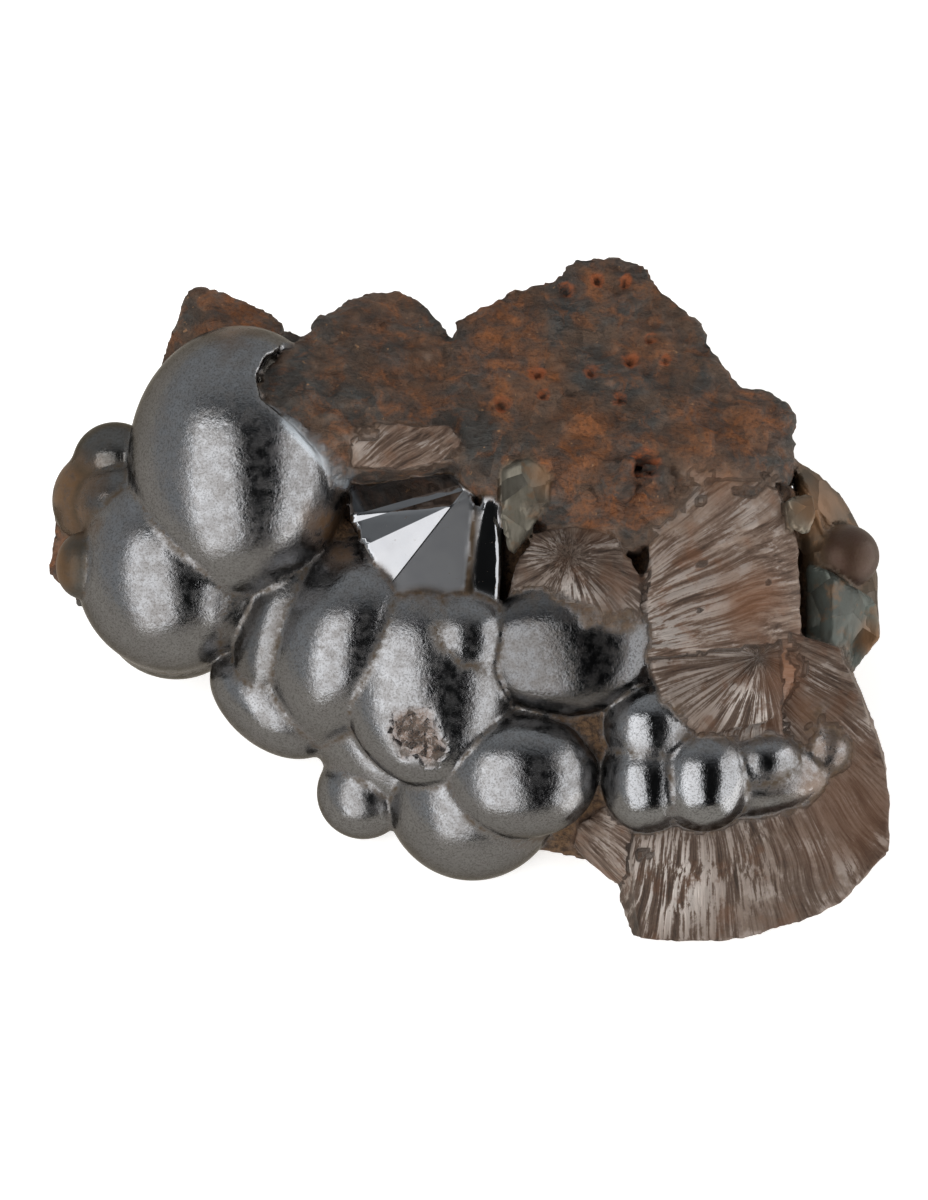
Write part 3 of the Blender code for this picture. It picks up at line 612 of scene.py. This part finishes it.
# Where it lies, and how strongly
FRONT_ONLY = 0.2  # pits and bruises lie where the surface faces forward more than this
PIT_DEPTH = 1.1  # in radii of the pit
PIT_RIM = 1.5  # where its rust-coloured rim ends, in radii
SHARD_SHARE = 0.35  # how much of the crust's relief the chunk behind the crown lobe has
FOOT_FADE = 1.5  # the relief fades out over this height above the table


def zone_shares(points):
    """Shares of the surfaces, nearness to a groove, nearest shape, and the colour of films and painted shade
    with its share.
    """
    distances = np.abs(shape_table(points))
    broken = np.array([ZONES[zone] in ("crust", "rays", "dirt") for zone in SHAPE_ZONE])
    distances = np.abs(distances + broken * (BORDER_WANDER * layered_noise(points, 3.0, 91))[:, None])
    distances[:, SHAPES.index("bright_fan")] *= FAN_REACH
    order = np.argsort(distances, axis=-1)[:, :2]
    first = np.take_along_axis(distances, order[:, :1], -1)[:, 0]
    second = np.take_along_axis(distances, order[:, 1:], -1)[:, 0]
    weight = np.exp(-(distances - first[:, None]) / BORDER_BLUR)
    shares = np.stack([weight[:, np.array(SHAPE_ZONE) == zone].sum(-1) for zone in range(len(ZONES))], -1)
    shares /= shares.sum(-1)[:, None]
    films = np.zeros((len(SHAPES), 4))
    for name, (colour, share) in FILMS_AND_SHADE.items():
        films[SHAPES.index(name)] = (*((np.array(colour) / 255.0) ** 2.2 * share), share)
    film = weight @ films / weight.sum(-1)[:, None]
    groove = np.exp(-(second - first) / GROOVE_WIDTH)
    return shares, groove, order[:, 0], film


def ray_direction(points, nearest):
    """The fibre each point lies on, as a long direction, its distance from the centre, its tone."""
    centres = np.zeros((len(SHAPES), 3))
    spacing = np.ones(len(SHAPES))
    tone = np.ones(len(SHAPES))
    for name, (centre, radius, brightness) in FIBRES.items():
        centres[SHAPES.index(name)] = centre
        spacing[SHAPES.index(name)] = radius
        tone[SHAPES.index(name)] = brightness
    turn_x, turn_y, turn_slope, turn_end = FIBRE_TURN
    turned = (nearest == SHAPES.index("fibre_right")) & (points[:, 0] < turn_end)
    turned &= points[:, 1] < turn_y + turn_slope * (points[:, 0] - turn_x)
    nearest = np.where(turned, SHAPES.index("bright_fan"), nearest)
    away = points - centres[nearest]
    away[:, 2] *= FIBRE_FLAT
    reach = np.maximum(length(away), 1e-3)
    bend = np.stack([smooth_noise(points, 6.0, seed) for seed in (81, 82, 83)], -1) * FIBRE_BEND
    return (away / reach[:, None] + bend) * spacing[nearest][:, None], reach, tone[nearest]


def mirror_height(points):
    """Front of the bright flat break, without its folds."""
    x, y, z = MIRROR_SPOT
    return z + MIRROR_PLANE[0] * (points[:, 0] - x) + MIRROR_PLANE[1] * (points[:, 1] - y)


def flat_cells(points, size, seed, steepness):
    """Flat-topped cells of -0.5..0.5, which come down to nothing at their borders."""
    first, second, number = cell_noise(points, size, seed)
    return (number - 0.5) * np.clip((second - first) * steepness, 0.0, 1.0)


def splinters(direction, reach, width, run, seed):
    """Long flat-topped shards that spread from a centre."""
    spread = direction / width + np.array([0.0, 0.0, 1.0]) * (reach / run)[:, None]
    return flat_cells(spread, 1.0, seed, 4.0)


def off_spot(points, x, y):
    """Distance across the face from a spot."""
    return np.hypot(points[:, 0] - x, points[:, 1] - y)


def spot_strength(points, spots, wander=0.0):
    """The strongest of the spots at each point, each fading out past its radius."""
    strongest = np.zeros(len(points))
    for x, y, radius, strength in spots:
        off = off_spot(points, x, y) / radius + wander
        strongest = np.maximum(strongest, strength * np.clip(SPOT_EDGE - off, 0.0, 1.0))
    return strongest


def bevel_highlight_strength(points):
    """How much of the painted highlight along the crown's break lies at each point."""
    start, end, half_width = np.array(LIP_HIGHLIGHT[0]), np.array(LIP_HIGHLIGHT[1]), LIP_HIGHLIGHT[2]
    along = np.clip((points[:, :2] - start) @ (end - start) / ((end - start) @ (end - start)), 0.0, 1.0)
    off = length(points[:, :2] - start - along[:, None] * (end - start))
    return np.clip((half_width - off) * 2.0, 0.0, 1.0) * (points[:, 2] > 5.0)


def relief(points, shares, nearest, normal):
    """How far each point stands out from the plain shape, and what its colours depend on."""
    zone = {name: shares[:, index] for index, name in enumerate(ZONES)}
    height = SWELL * smooth_noise(points, 11.0, 11) * zone["skin"]
    rough = CHUNK * flat_cells(points * np.array([1.0, 1.3, 0.7]), 5.0, 21, 5.0)
    rough += FLAKE * flat_cells(points * np.array([0.8, 1.5, 1.0]), 1.9, 25, 4.0)
    rough += CRUST_GRAIN * layered_noise(points, 4.0, 31, 4)
    height += rough * zone["crust"] * np.where(nearest == SHAPES.index("back_shard"), SHARD_SHARE, 1.0)
    height += EARTH_GRAIN * layered_noise(points, 3.0, 41) * zone["dirt"]
    height += GREY_WAVE * layered_noise(points, 5.0, 51) * zone["grey"]
    direction, reach, ray_tone = ray_direction(points, nearest)
    split = WIDE_SPLINTER * splinters(direction, reach, 3.2, 16.0, 61)
    split += THIN_SPLINTER * splinters(direction, reach, 1.6, 9.0, 65)
    split += FIBRE_WAVE * smooth_noise(points, 7.0, 63)
    height += split * zone["rays"]
    is_mirror = zone["mirror"] * (nearest == SHAPES.index("mirror"))
    is_mirror *= np.clip(normal[:, 2] * 4.0 - 2.0, 0.0, 1.0)
    height += np.clip(mirror_height(points) - points[:, 2], -MIRROR_PUSH, MIRROR_PUSH) * is_mirror
    front = normal[:, 2] > FRONT_ONLY
    pit = np.zeros(len(points))
    for x, y, radius in PITS:
        off = (off_spot(points, x, y) + 0.35 * smooth_noise(points, 1.2, 71)) / radius
        height -= np.clip(1.0 - off ** 2, 0.0, 1.0) * front * (points[:, 2] > -20.0) * radius * PIT_DEPTH
        pit = np.maximum(pit, np.clip(PIT_RIM - off, 0.0, 1.0) * front)
    bruise = np.zeros(len(points))
    chip = cell_noise(points, 1.5, 75)[2]
    for x, y, radius, depth in BRUISES:
        off = off_spot(points, x, y) + 0.8 * smooth_noise(points, 2.0, 72)
        hollow = np.clip(1.0 - (off / radius) ** 2, 0.0, 1.0) * front
        height += hollow * (BRUISE_CHIP * (chip - 0.4) - depth)
        bruise = np.maximum(bruise, np.clip(hollow * 1.8, 0.0, 1.0))
    rust = spot_strength(points, RUST, 0.35 * smooth_noise(points, 3.0, 77))
    extras = {"pit": pit, "bruise": bruise, "rust": rust, "shine": spot_strength(points, SHINE),
              "lip_highlight": bevel_highlight_strength(points), "ray": direction, "ray_reach": reach, "ray_tone": ray_tone,
              "is_mirror": is_mirror}
    return height, extras


def leaned(vectors):
    """Turn face directions, in rows, into world directions."""
    c, s = cos(LEAN), sin(LEAN)
    x, y, z = vectors.T
    return np.stack([x, y * c - z * s, y * s + z * c], -1)


def to_world(points):
    """Face millimetres to world metres."""
    return (leaned(points) + np.array([-FOOTPRINT_MIDDLE[0], -FOOTPRINT_MIDDLE[1], FACE_HEIGHT])) * MM


def give(mesh, name, values):
    """Store one number or one direction for each point."""
    kind, field = ("FLOAT", "value") if values.ndim == 1 else ("FLOAT_VECTOR", "vector")
    layer = mesh.attributes.new(name, kind, "POINT")
    layer.data.foreach_set(field, values.astype(np.float32).ravel())


def specimen_mesh():
    """Mesh the specimen and store what its material needs."""
    xs, ys = (np.arange(low, high, CELL) for low, high in zip(GRID_LOW[:2], GRID_HIGH))
    zs = graded(GRID_LOW[2], GRID_HIGH[2], FINE_ABOVE)
    points, quads = surface_net(sample_grid(xs, ys, zs), xs, ys, zs)
    points = settle(points, quads)
    slope = gradient(points)
    normal = slope / np.maximum(length(slope), 1e-6)[:, None]
    shares, groove, nearest, film = zone_shares(points)
    height, extras = relief(points, shares, nearest, normal)
    above = FACE_HEIGHT + points @ UP
    height = height * np.clip(above / FOOT_FADE, 0.0, 1.0)
    points = points + normal * height[:, None]
    world = to_world(points)
    world[:, 2] = np.maximum(world[:, 2], 0.0)
    mesh = bpy.data.meshes.new("kidney_ore_skin")
    mesh.from_pydata(world.tolist(), [], quads.tolist())
    mesh.shade_smooth()
    for index, name in enumerate(ZONES[:-1]):  # the last lies under the others and needs no share
        give(mesh, "zone_" + name, shares[:, index])
    extras.update(groove=groove, film=film[:, :3] / np.maximum(film[:, 3:], 1e-3), film_share=film[:, 3],
                  face_place=points)
    for name, values in extras.items():
        give(mesh, name, values)
    mesh.update()
    return mesh


def make_piece(name, mesh, material):
    """An object with one material."""
    piece = bpy.data.objects.new(name, mesh)
    bpy.context.scene.collection.objects.link(piece)
    mesh.materials.append(material)
    return piece


# ---- materials
def linear(red, green, blue):
    """A colour given as it looks on screen, 0..255, as the renderer needs it."""
    values = []
    for part in (red, green, blue):
        part = part / 255.0
        values.append(part / 12.92 if part <= 0.04045 else ((part + 0.055) / 1.055) ** 2.4)
    return (*values, 1.0)


# What the clean metal reflects, from its darkest to its lightest, and its pores
LOBE_STEEL = ((0.212, 0.217, 0.228, 1.0), (0.275, 0.278, 0.286, 1.0))
MIRROR_STEEL = ((0.24, 0.245, 0.26, 1.0), (0.32, 0.323, 0.33, 1.0))
PORE = (0.085, 0.085, 0.085, 1.0)
RIM = (0.42, 0.40, 0.37, 1.0)  # what the metal reflects at a glancing angle
# Colours as they look on screen. Painted shade lies in the groove and mirror dust tones and the pit tone,
# painted highlight in the bevel and splinter tones
TONES = {name: linear(*colour) for name, colour in {
    "film rust": (104, 74, 44), "groove dust and shade": (66, 54, 40), "bruise": (96, 80, 70),
    "bevel_highlight": (160, 165, 170), "speck": (120, 105, 92), "mirror dust and shade": (62, 52, 42),
    "dark flat": (48, 46, 42), "grey streak": (56, 50, 42), "grey stain": (110, 78, 50),
    "crust grey": (74, 74, 72), "crust brown": (96, 76, 62), "crust smear": (50, 42, 37),
    "rust": (122, 74, 44), "pale rust": (152, 98, 62), "crust hollow": (38, 31, 26),
    "crust flake": (44, 36, 31), "crust chip": (176, 132, 94), "pit rim": (156, 86, 50),
    "pit": (18, 14, 12), "fibre": (100, 80, 68), "pale fibre": (150, 130, 116), "fibre gap": (48, 38, 32),
    "fibre rust": (132, 88, 60), "painted splinter glint": (178, 171, 165), "earth": (58, 44, 34),
    "pale earth": (112, 86, 62)}.items()}


class Nodes:
    """A node tree, with short calls that add a node and give its result."""

    def __init__(self, tree):
        self.tree = tree

    def plug(self, socket, value):
        """Link a result to a socket, or set the socket itself to a plain value."""
        if isinstance(value, bpy.types.NodeSocket):
            self.tree.links.new(value, socket)
        else:
            socket.default_value = value

    def add(self, kind, inputs, **settings):
        """A new node with these settings and inputs."""
        node = self.tree.nodes.new("ShaderNode" + kind)
        for name, value in settings.items():
            setattr(node, name, value)
        for key, value in inputs.items():
            self.plug(node.inputs[key], value)
        return node

    def number(self, name):
        """A number stored on the mesh."""
        return self.add("Attribute", {}, attribute_name=name).outputs["Fac"]

    def direction(self, name):
        """A direction, a place or a colour stored on the mesh."""
        return self.add("Attribute", {}, attribute_name=name).outputs["Vector"]

    def maths(self, operation, a, b, clamp=False):
        return self.add("Math", {0: a, 1: b}, operation=operation, use_clamp=clamp).outputs[0]

    def plus(self, a, b, clamp=False):
        return self.maths("ADD", a, b, clamp)

    def times(self, a, b):
        return self.maths("MULTIPLY", a, b)

    def total(self, *parts):
        """Sum of results, each times its weight."""
        result = self.times(*parts[0])
        for value, weight in parts[1:]:
            result = self.plus(result, self.times(value, weight))
        return result

    def larger(self, a, b):
        return self.maths("MAXIMUM", a, b)

    def smaller(self, a, b):
        return self.maths("MINIMUM", a, b)

    def vector_maths(self, operation, a, b):
        node = self.add("VectorMath", {0: a, 1: b}, operation=operation)
        return node.outputs["Value" if operation in ("DOT_PRODUCT", "LENGTH") else "Vector"]

    def scaled(self, vector, factor):
        return self.vector_maths("MULTIPLY", vector, factor)

    def vector(self, x, y, z):
        """Three numbers as a vector."""
        return self.add("CombineXYZ", {0: x, 1: y, 2: z}).outputs[0]

    def beyond(self, place, spot, across):
        """Distance past a line of the face, through the spot, in this direction; 0 before it."""
        away = self.vector_maths("DOT_PRODUCT", place, (*across, 0.0))
        return self.larger(self.maths("SUBTRACT", away, spot[0] * across[0] + spot[1] * across[1]), 0.0)

    def flats(self, vector, size, tilt):
        """A surface broken into flats: each leans its own way from the middle of its cell."""
        node = self.add("TexVoronoi", {"Vector": vector, "Scale": 1.0 / size})
        away = self.vector_maths("SUBTRACT", vector, node.outputs["Position"])
        lean = self.vector_maths("SUBTRACT", node.outputs["Color"], (0.5, 0.5, 0.5))
        tone = self.vector_maths("DOT_PRODUCT", node.outputs["Color"], (0.34, 0.33, 0.33))
        return self.times(self.vector_maths("DOT_PRODUCT", away, lean), tilt), tone

    def noise(self, vector, scale, detail=3.0, rough=0.55, warp=0.0):
        inputs = {"Vector": vector, "Scale": scale, "Detail": detail, "Roughness": rough, "Distortion": warp}
        return self.add("TexNoise", inputs).outputs["Fac"]

    def ramp(self, value, low, high, to_low=0.0, to_high=1.0):
        """Stretch low..high to a range, clamped, with soft ends."""
        inputs = {"Value": value, "From Min": low, "From Max": high, "To Min": to_low, "To Max": to_high}
        return self.add("MapRange", inputs, interpolation_type="SMOOTHSTEP").outputs["Result"]

    def mix(self, share, a, b, kind="RGBA"):
        """Mix two colours, two numbers (FLOAT) or two directions (VECTOR)."""
        # The node has inputs and a result for each kind, so they are told apart by number
        first, result = {"FLOAT": (2, 0), "VECTOR": (4, 1), "RGBA": (6, 2)}[kind]
        return self.add("Mix", {0: share, first: a, first + 1: b}, data_type=kind).outputs[result]

    def blend(self, share, a, b):
        return self.mix(share, a, b, "FLOAT")

    def coats(self, colour, *coats):
        """Lay named tones over a colour, one after another, each by its share."""
        for share, tone in coats:
            colour = self.mix(share, colour, TONES[tone])
        return colour

    def bump(self, height):
        """A normal from a height in millimetres."""
        return self.add("Bump", {"Height": height, "Distance": MM, "Strength": 1.0}).outputs["Normal"]


def new_material(name):
    """A material, its nodes, and its shader's inputs."""
    material = bpy.data.materials.new(name)
    material.use_nodes = True
    return material, Nodes(material.node_tree), material.node_tree.nodes["Principled BSDF"].inputs


# Each layer takes the place on the face and gives a colour, how metallic, how rough, and a height in mm
def skin_layer(nodes, place):
    """Polished lobe: steel-grey metal with a fine grain, dust and painted shade in the grooves, films,
    painted shade on the cut lobe, rust, and a painted highlight along the crown's break.
    """
    colour = nodes.mix(nodes.noise(place, 0.12, 2.0), *LOBE_STEEL)
    grain = nodes.noise(place, 2.3, 3.0, 0.65)
    ripple = nodes.noise(place, 0.9, 2.0, 0.5)
    pores = nodes.noise(place, 2.9, 3.0, 0.7)
    colour = nodes.mix(nodes.ramp(pores, 0.38, 0.52, 0.60, 0.0), colour, PORE)
    patchy = nodes.noise(place, 0.5, 4.0, 0.65)
    # painted shade with a brown of dust: the grooves between shapes are darkened
    dust_and_shade = nodes.times(nodes.number("groove"), nodes.ramp(patchy, 0.35, 0.62, 0.35, 1.1))
    rust = nodes.times(nodes.number("rust"), nodes.ramp(patchy, 0.30, 0.55, 0.5, 1.1))
    film = nodes.number("film_share")
    bevel_highlight = nodes.number("lip_highlight")
    bruise = nodes.times(nodes.number("bruise"), nodes.ramp(grain, 0.40, 0.60, 0.9, 0.5))
    colour = nodes.coats(
        nodes.mix(film, colour, nodes.direction("film")),
        (nodes.smaller(rust, 0.9), "film rust"),
        (nodes.smaller(dust_and_shade, 0.95), "groove dust and shade"),
        (bruise, "bruise"),
        # painted highlight: a pale band along the crown's break edge
        (bevel_highlight, "bevel_highlight"))
    cover = nodes.larger(nodes.larger(dust_and_shade, rust), nodes.ramp(film, 0.35, 1.0, 0.0, 0.8))
    cover = nodes.larger(cover, nodes.times(nodes.larger(bevel_highlight, bruise), 0.6))
    cover = nodes.smaller(cover, 1.0)
    metal = nodes.ramp(cover, 0.1, 1.0, 1.0, 0.2)
    polish = nodes.ramp(nodes.noise(place, 0.35, 3.0), 0.3, 0.7, 0.07, 0.11)
    chips, _ = nodes.flats(place, 1.6, 0.9)
    height = nodes.total((grain, 0.038), (ripple, 0.05), (pores, 0.013), (chips, nodes.number("bruise")))
    return colour, metal, nodes.blend(cover, polish, 0.5), height


def mirror_layer(nodes, place):
    """Flat break as bright as glass, duller past its last fold, with dust and painted shade at its borders.
    """
    colour = nodes.mix(nodes.noise(place, 0.2, 2.0), *MIRROR_STEEL)
    spot, across, _ = MIRROR_FOLDS[-1]
    dull = nodes.times(nodes.ramp(nodes.beyond(place, spot, across), 0.0, 0.3), nodes.number("is_mirror"))
    speck = nodes.ramp(nodes.noise(place, 1.2, 4.0, 0.7), 0.66, 0.72)
    # painted shade with a brown of dust along the borders, which also darkens the light their rounded edges
    # catch
    dust_and_shade = nodes.ramp(nodes.number("groove"), 0.35, 0.9)
    colour = nodes.coats(colour, (speck, "speck"), (dust_and_shade, "mirror dust and shade"))
    rough = nodes.blend(nodes.larger(speck, dust_and_shade), nodes.blend(dull, 0.06, 0.34), 0.4)
    steps = nodes.noise(nodes.scaled(place, (0.5, 1.6, 0.5)), 0.5, 2.0)
    return colour, 1.0, rough, nodes.times(steps, 0.03)


def folded_front(nodes, place):
    """Height of the bright flat break's front above its plane, with its folds."""
    front = nodes.vector_maths("DOT_PRODUCT", place, (*MIRROR_SLOPE, 0.0))
    for spot, across, fold in MIRROR_FOLDS:
        front = nodes.plus(front, nodes.times(nodes.beyond(place, spot, across), fold))
    return front


def grey_layer(nodes, place):
    """Dull break in the colour of its shape, in flats that each have a tone of their own."""
    front, tone = nodes.flats(place, 6.0, 0.9)
    streak = nodes.noise(nodes.scaled(place, (1.0, 0.4, 0.6)), 0.8, 4.0, 0.6)
    stain = nodes.ramp(nodes.noise(place, 0.3, 4.0, 0.6), 0.52, 0.68, 0.0, 0.5)
    colour = nodes.coats(
        nodes.direction("film"),
        (nodes.ramp(tone, 0.3, 0.65, 0.55, 0.0), "dark flat"),
        (nodes.ramp(streak, 0.35, 0.6, 0.35, 0.0), "grey streak"),
        (nodes.larger(stain, nodes.number("rust")), "grey stain"))
    return colour, 0.35, 0.34, nodes.plus(front, nodes.times(streak, 0.10))


def crust_layer(nodes, place):
    """Rough rusty crust: blue-grey and brown patches, smeared rust, and pits with orange rims and painted
    shade at their bottoms.
    """
    broad = nodes.noise(place, 0.10, 4.0, 0.6, 0.5)
    smear = nodes.noise(nodes.scaled(place, (0.45, 1.0, 0.7)), 0.55, 6.0, 0.68, 0.4)
    fine = nodes.noise(place, 1.6, 5.0, 0.7)
    spread = nodes.noise(place, 0.26, 6.0, 0.68, 0.8)
    flat, flake = nodes.flats(place, 3.2, 0.5)
    chips = nodes.ramp(nodes.noise(place, 0.75, 3.0, 0.6), 0.68, 0.72)
    settled = nodes.times(nodes.number("rust"), nodes.ramp(spread, 0.34, 0.56, 0.15, 0.8))
    rust = nodes.plus(nodes.ramp(spread, 0.48, 0.70, 0.0, 0.6), settled, clamp=True)
    pit = nodes.number("pit")
    rim = nodes.times(nodes.ramp(pit, 0.10, 0.60), nodes.ramp(smear, 0.38, 0.60, 0.0, 0.8))
    colour = nodes.coats(
        TONES["crust grey"],
        (nodes.ramp(broad, 0.40, 0.58), "crust brown"),
        (nodes.ramp(smear, 0.34, 0.66, 0.5, 0.0), "crust smear"))
    colour = nodes.coats(
        nodes.mix(rust, colour, nodes.coats(TONES["rust"], (fine, "pale rust"))),
        (nodes.ramp(fine, 0.36, 0.52, 0.45, 0.0), "crust hollow"),
        (nodes.ramp(flake, 0.34, 0.52, 0.35, 0.0), "crust flake"),
        (nodes.times(chips, 0.5), "crust chip"),
        (rim, "pit rim"),
        # painted shade: the bottom of each pit is near black
        (nodes.ramp(pit, 0.85, 1.10), "pit"))
    metal = nodes.ramp(broad, 0.36, 0.56, 0.35, 0.05)
    height = nodes.total((fine, 0.30), (smear, 0.8), (flat, 1.0))
    return colour, metal, nodes.blend(rust, 0.45, 0.7), height


def ray_layer(nodes, place):
    """Fibres spreading from a centre: pinkish brown, with silvery splinters painted light as glints, and
    dark gaps.
    """
    ray = nodes.direction("ray")
    run = nodes.times(nodes.number("ray_reach"), 0.07)
    along = nodes.vector(run, run, 0.0)
    thread = nodes.noise(nodes.vector_maths("ADD", nodes.scaled(ray, (1.7,) * 3), along), 1.0, 4.0, 0.65)
    bundle = nodes.noise(nodes.vector_maths("ADD", nodes.scaled(ray, (0.45,) * 3), along), 1.0, 2.0, 0.5)
    broken = nodes.noise(place, 0.18, 4.0, 0.6)
    grain = nodes.noise(place, 1.8, 4.0, 0.65)
    shard = nodes.total((thread, 0.55), (bundle, 0.35), (grain, 0.10))
    rust = nodes.larger(nodes.ramp(broken, 0.50, 0.66, 0.0, 0.5), nodes.number("rust"))
    shine = nodes.larger(nodes.ramp(broken, 0.38, 0.52, 0.45, 0.0), nodes.number("shine"))
    edge = nodes.plus(shard, nodes.times(shine, 0.015))
    # painted highlight: pale glints on the silvery splinters, left out of the fan's darker tone
    glint = nodes.times(nodes.ramp(edge, 0.49, 0.54), shine)
    glint = nodes.times(glint, nodes.ramp(rust, 0.1, 0.6, 1.0, 0.15))
    tone = nodes.blend(glint, nodes.number("ray_tone"), 1.0)
    colour = nodes.coats(
        TONES["fibre"],
        (nodes.ramp(shard, 0.42, 0.60), "pale fibre"),
        (nodes.ramp(shard, 0.36, 0.46, 0.70, 0.0), "fibre gap"),
        (nodes.times(rust, 0.75), "fibre rust"),
        (glint, "painted splinter glint"))
    colour = nodes.scaled(colour, nodes.vector(tone, tone, tone))
    metal = nodes.ramp(glint, 0.0, 1.0, 0.15, 0.75)
    rough = nodes.ramp(glint, 0.0, 1.0, 0.5, 0.32)
    return colour, metal, rough, nodes.total((thread, 0.34), (bundle, 0.7))


def dirt_layer(nodes, place):
    """Brown earth left between the lobes."""
    grain = nodes.noise(place, 1.1, 5.0, 0.7)
    colour = nodes.coats(TONES["earth"], (nodes.ramp(grain, 0.35, 0.65), "pale earth"))
    return colour, 0.05, 0.7, nodes.times(grain, 0.5)


def hematite():
    """The whole specimen: each surface's layer, mixed by where it lies."""
    material, nodes, shader = new_material("hematite")
    place = nodes.direction("face_place")
    colour, metal, rough, height = dirt_layer(nodes, place)
    for zone, layer in (("crust", crust_layer), ("rays", ray_layer), ("grey", grey_layer),
                        ("mirror", mirror_layer), ("skin", skin_layer)):
        share = nodes.number("zone_" + zone)
        next_colour, next_metal, next_rough, next_height = layer(nodes, place)
        colour = nodes.mix(share, colour, next_colour)
        metal = nodes.blend(share, metal, next_metal)
        rough = nodes.blend(share, rough, next_rough)
        height = nodes.blend(share, height, next_height)
    front = nodes.bump(folded_front(nodes, place))
    normal = nodes.mix(nodes.number("is_mirror"), nodes.bump(height), front, "VECTOR")
    nodes.plug(shader["Base Color"], colour)
    nodes.plug(shader["Metallic"], metal)
    nodes.plug(shader["Roughness"], rough)
    nodes.plug(shader["Normal"], normal)
    shader["Specular Tint"].default_value = RIM
    return material


# ---- studio
DARK = 0.015  # brightness of the room where it is dark
GROUND = 0.76  # and below the horizon
HORIZON = -0.02
# Where the room brightens: axis, direction along it where this starts and ends, brightness reached
ROOM = ((0, -0.35, -0.85, 0.62), (1, -0.10, 0.6, 0.62), (2, HORIZON, -0.10, GROUND))
PAPER_HALF = 3.0  # metres
CAMERA_AWAY = 700.0  # millimetres in front of the face
FACE_MIDDLE = to_world(np.zeros((1, 3)))[0]
AXES = leaned(np.eye(3))  # world directions of the face's x, y and z


def from_face(x, y, z):
    """World place of a point given in face millimetres."""
    return Vector(FACE_MIDDLE + (AXES[0] * x + AXES[1] * y + AXES[2] * z) * MM)


def aim(item, target):
    """Point an object's -Z at a place, with its Y axis along the face's y."""
    back = (item.location - target).normalized()
    side = Vector(AXES[1]).cross(back).normalized()
    item.rotation_euler = Matrix((side, back.cross(side), back)).transposed().to_euler()


def softbox(name, place, width, height, watts, target=(0.0, 0.0, 0.0)):
    """A soft studio light, placed and aimed in face millimetres."""
    lamp = bpy.data.lights.new(name, "AREA")
    lamp.shape = "RECTANGLE"
    lamp.size = width * MM
    lamp.size_y = height * MM
    lamp.energy = watts
    item = bpy.data.objects.new(name, lamp)
    item.location = from_face(*place)
    item.visible_camera = False
    bpy.context.scene.collection.objects.link(item)
    aim(item, from_face(*target))


def floor():
    """White paper, lit from below, more so away from the specimen."""
    material, nodes, shader = new_material("floor_paper")
    place = nodes.add("TexCoord", {}).outputs["Object"]
    away = nodes.vector_maths("LENGTH", place, (0.0, 0.0, 0.0))
    shader["Base Color"].default_value = (0.80, 0.80, 0.80, 1.0)
    shader["Roughness"].default_value = 0.9
    shader["Specular IOR Level"].default_value = 0.1
    shader["Emission Color"].default_value = (1.0, 0.985, 0.96, 1.0)
    nodes.plug(shader["Emission Strength"], nodes.ramp(away, 0.05, 0.14, 0.60, 0.98))
    mesh = bpy.data.meshes.new("floor")
    corners = [(x * PAPER_HALF, y * PAPER_HALF, 0.0) for x, y in ((-1, -1), (1, -1), (1, 1), (-1, 1))]
    mesh.from_pydata(corners, [], [(0, 1, 2, 3)])
    paper = make_piece("floor", mesh, material)
    paper.visible_glossy = False  # the lobes mirror the grey room below instead


def surroundings():
    """A dim room: grey left of, behind and below the specimen, dark in front and to the right."""
    world = bpy.data.worlds.new("room")
    bpy.context.scene.world = world
    world.use_nodes = True
    nodes = Nodes(world.node_tree)
    ways = nodes.add("SeparateXYZ", {0: nodes.add("TexCoord", {}).outputs["Generated"]}).outputs
    strength = DARK
    for axis, start, end, most in ROOM:
        strength = nodes.larger(strength, nodes.ramp(ways[axis], start, end, DARK, most))
    below = nodes.maths("LESS_THAN", ways[2], HORIZON)
    tint = nodes.mix(below, (0.93, 0.97, 1.0, 1.0), (1.0, 0.94, 0.84, 1.0))
    room = world.node_tree.nodes["Background"].inputs
    nodes.plug(room["Color"], tint)
    nodes.plug(room["Strength"], strength)


def camera():
    """Straight in front of the good face."""
    lens = bpy.data.cameras.new("camera")
    lens.sensor_width = 36.0
    lens.lens = 126.0
    lens.clip_end = 20.0
    item = bpy.data.objects.new("camera", lens)
    bpy.context.scene.collection.objects.link(item)
    item.location = from_face(0.0, 0.0, CAMERA_AWAY)
    item.rotation_euler = (LEAN, 0.0, 0.0)
    bpy.context.scene.camera = item


bpy.context.scene.view_settings.view_transform = "Standard"
specimen = make_piece("kidney_ore_skin", specimen_mesh(), hematite())
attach(specimen, "root")
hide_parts("kidney_ore")
floor()
surroundings()
softbox("left_box", (-215.0, -115.0, 390.0), 430.0, 900.0, 3.2)
softbox("right_box", (380.0, -100.0, 100.0), 560.0, 700.0, 2.8, (0.0, -100.0, 100.0))
camera()
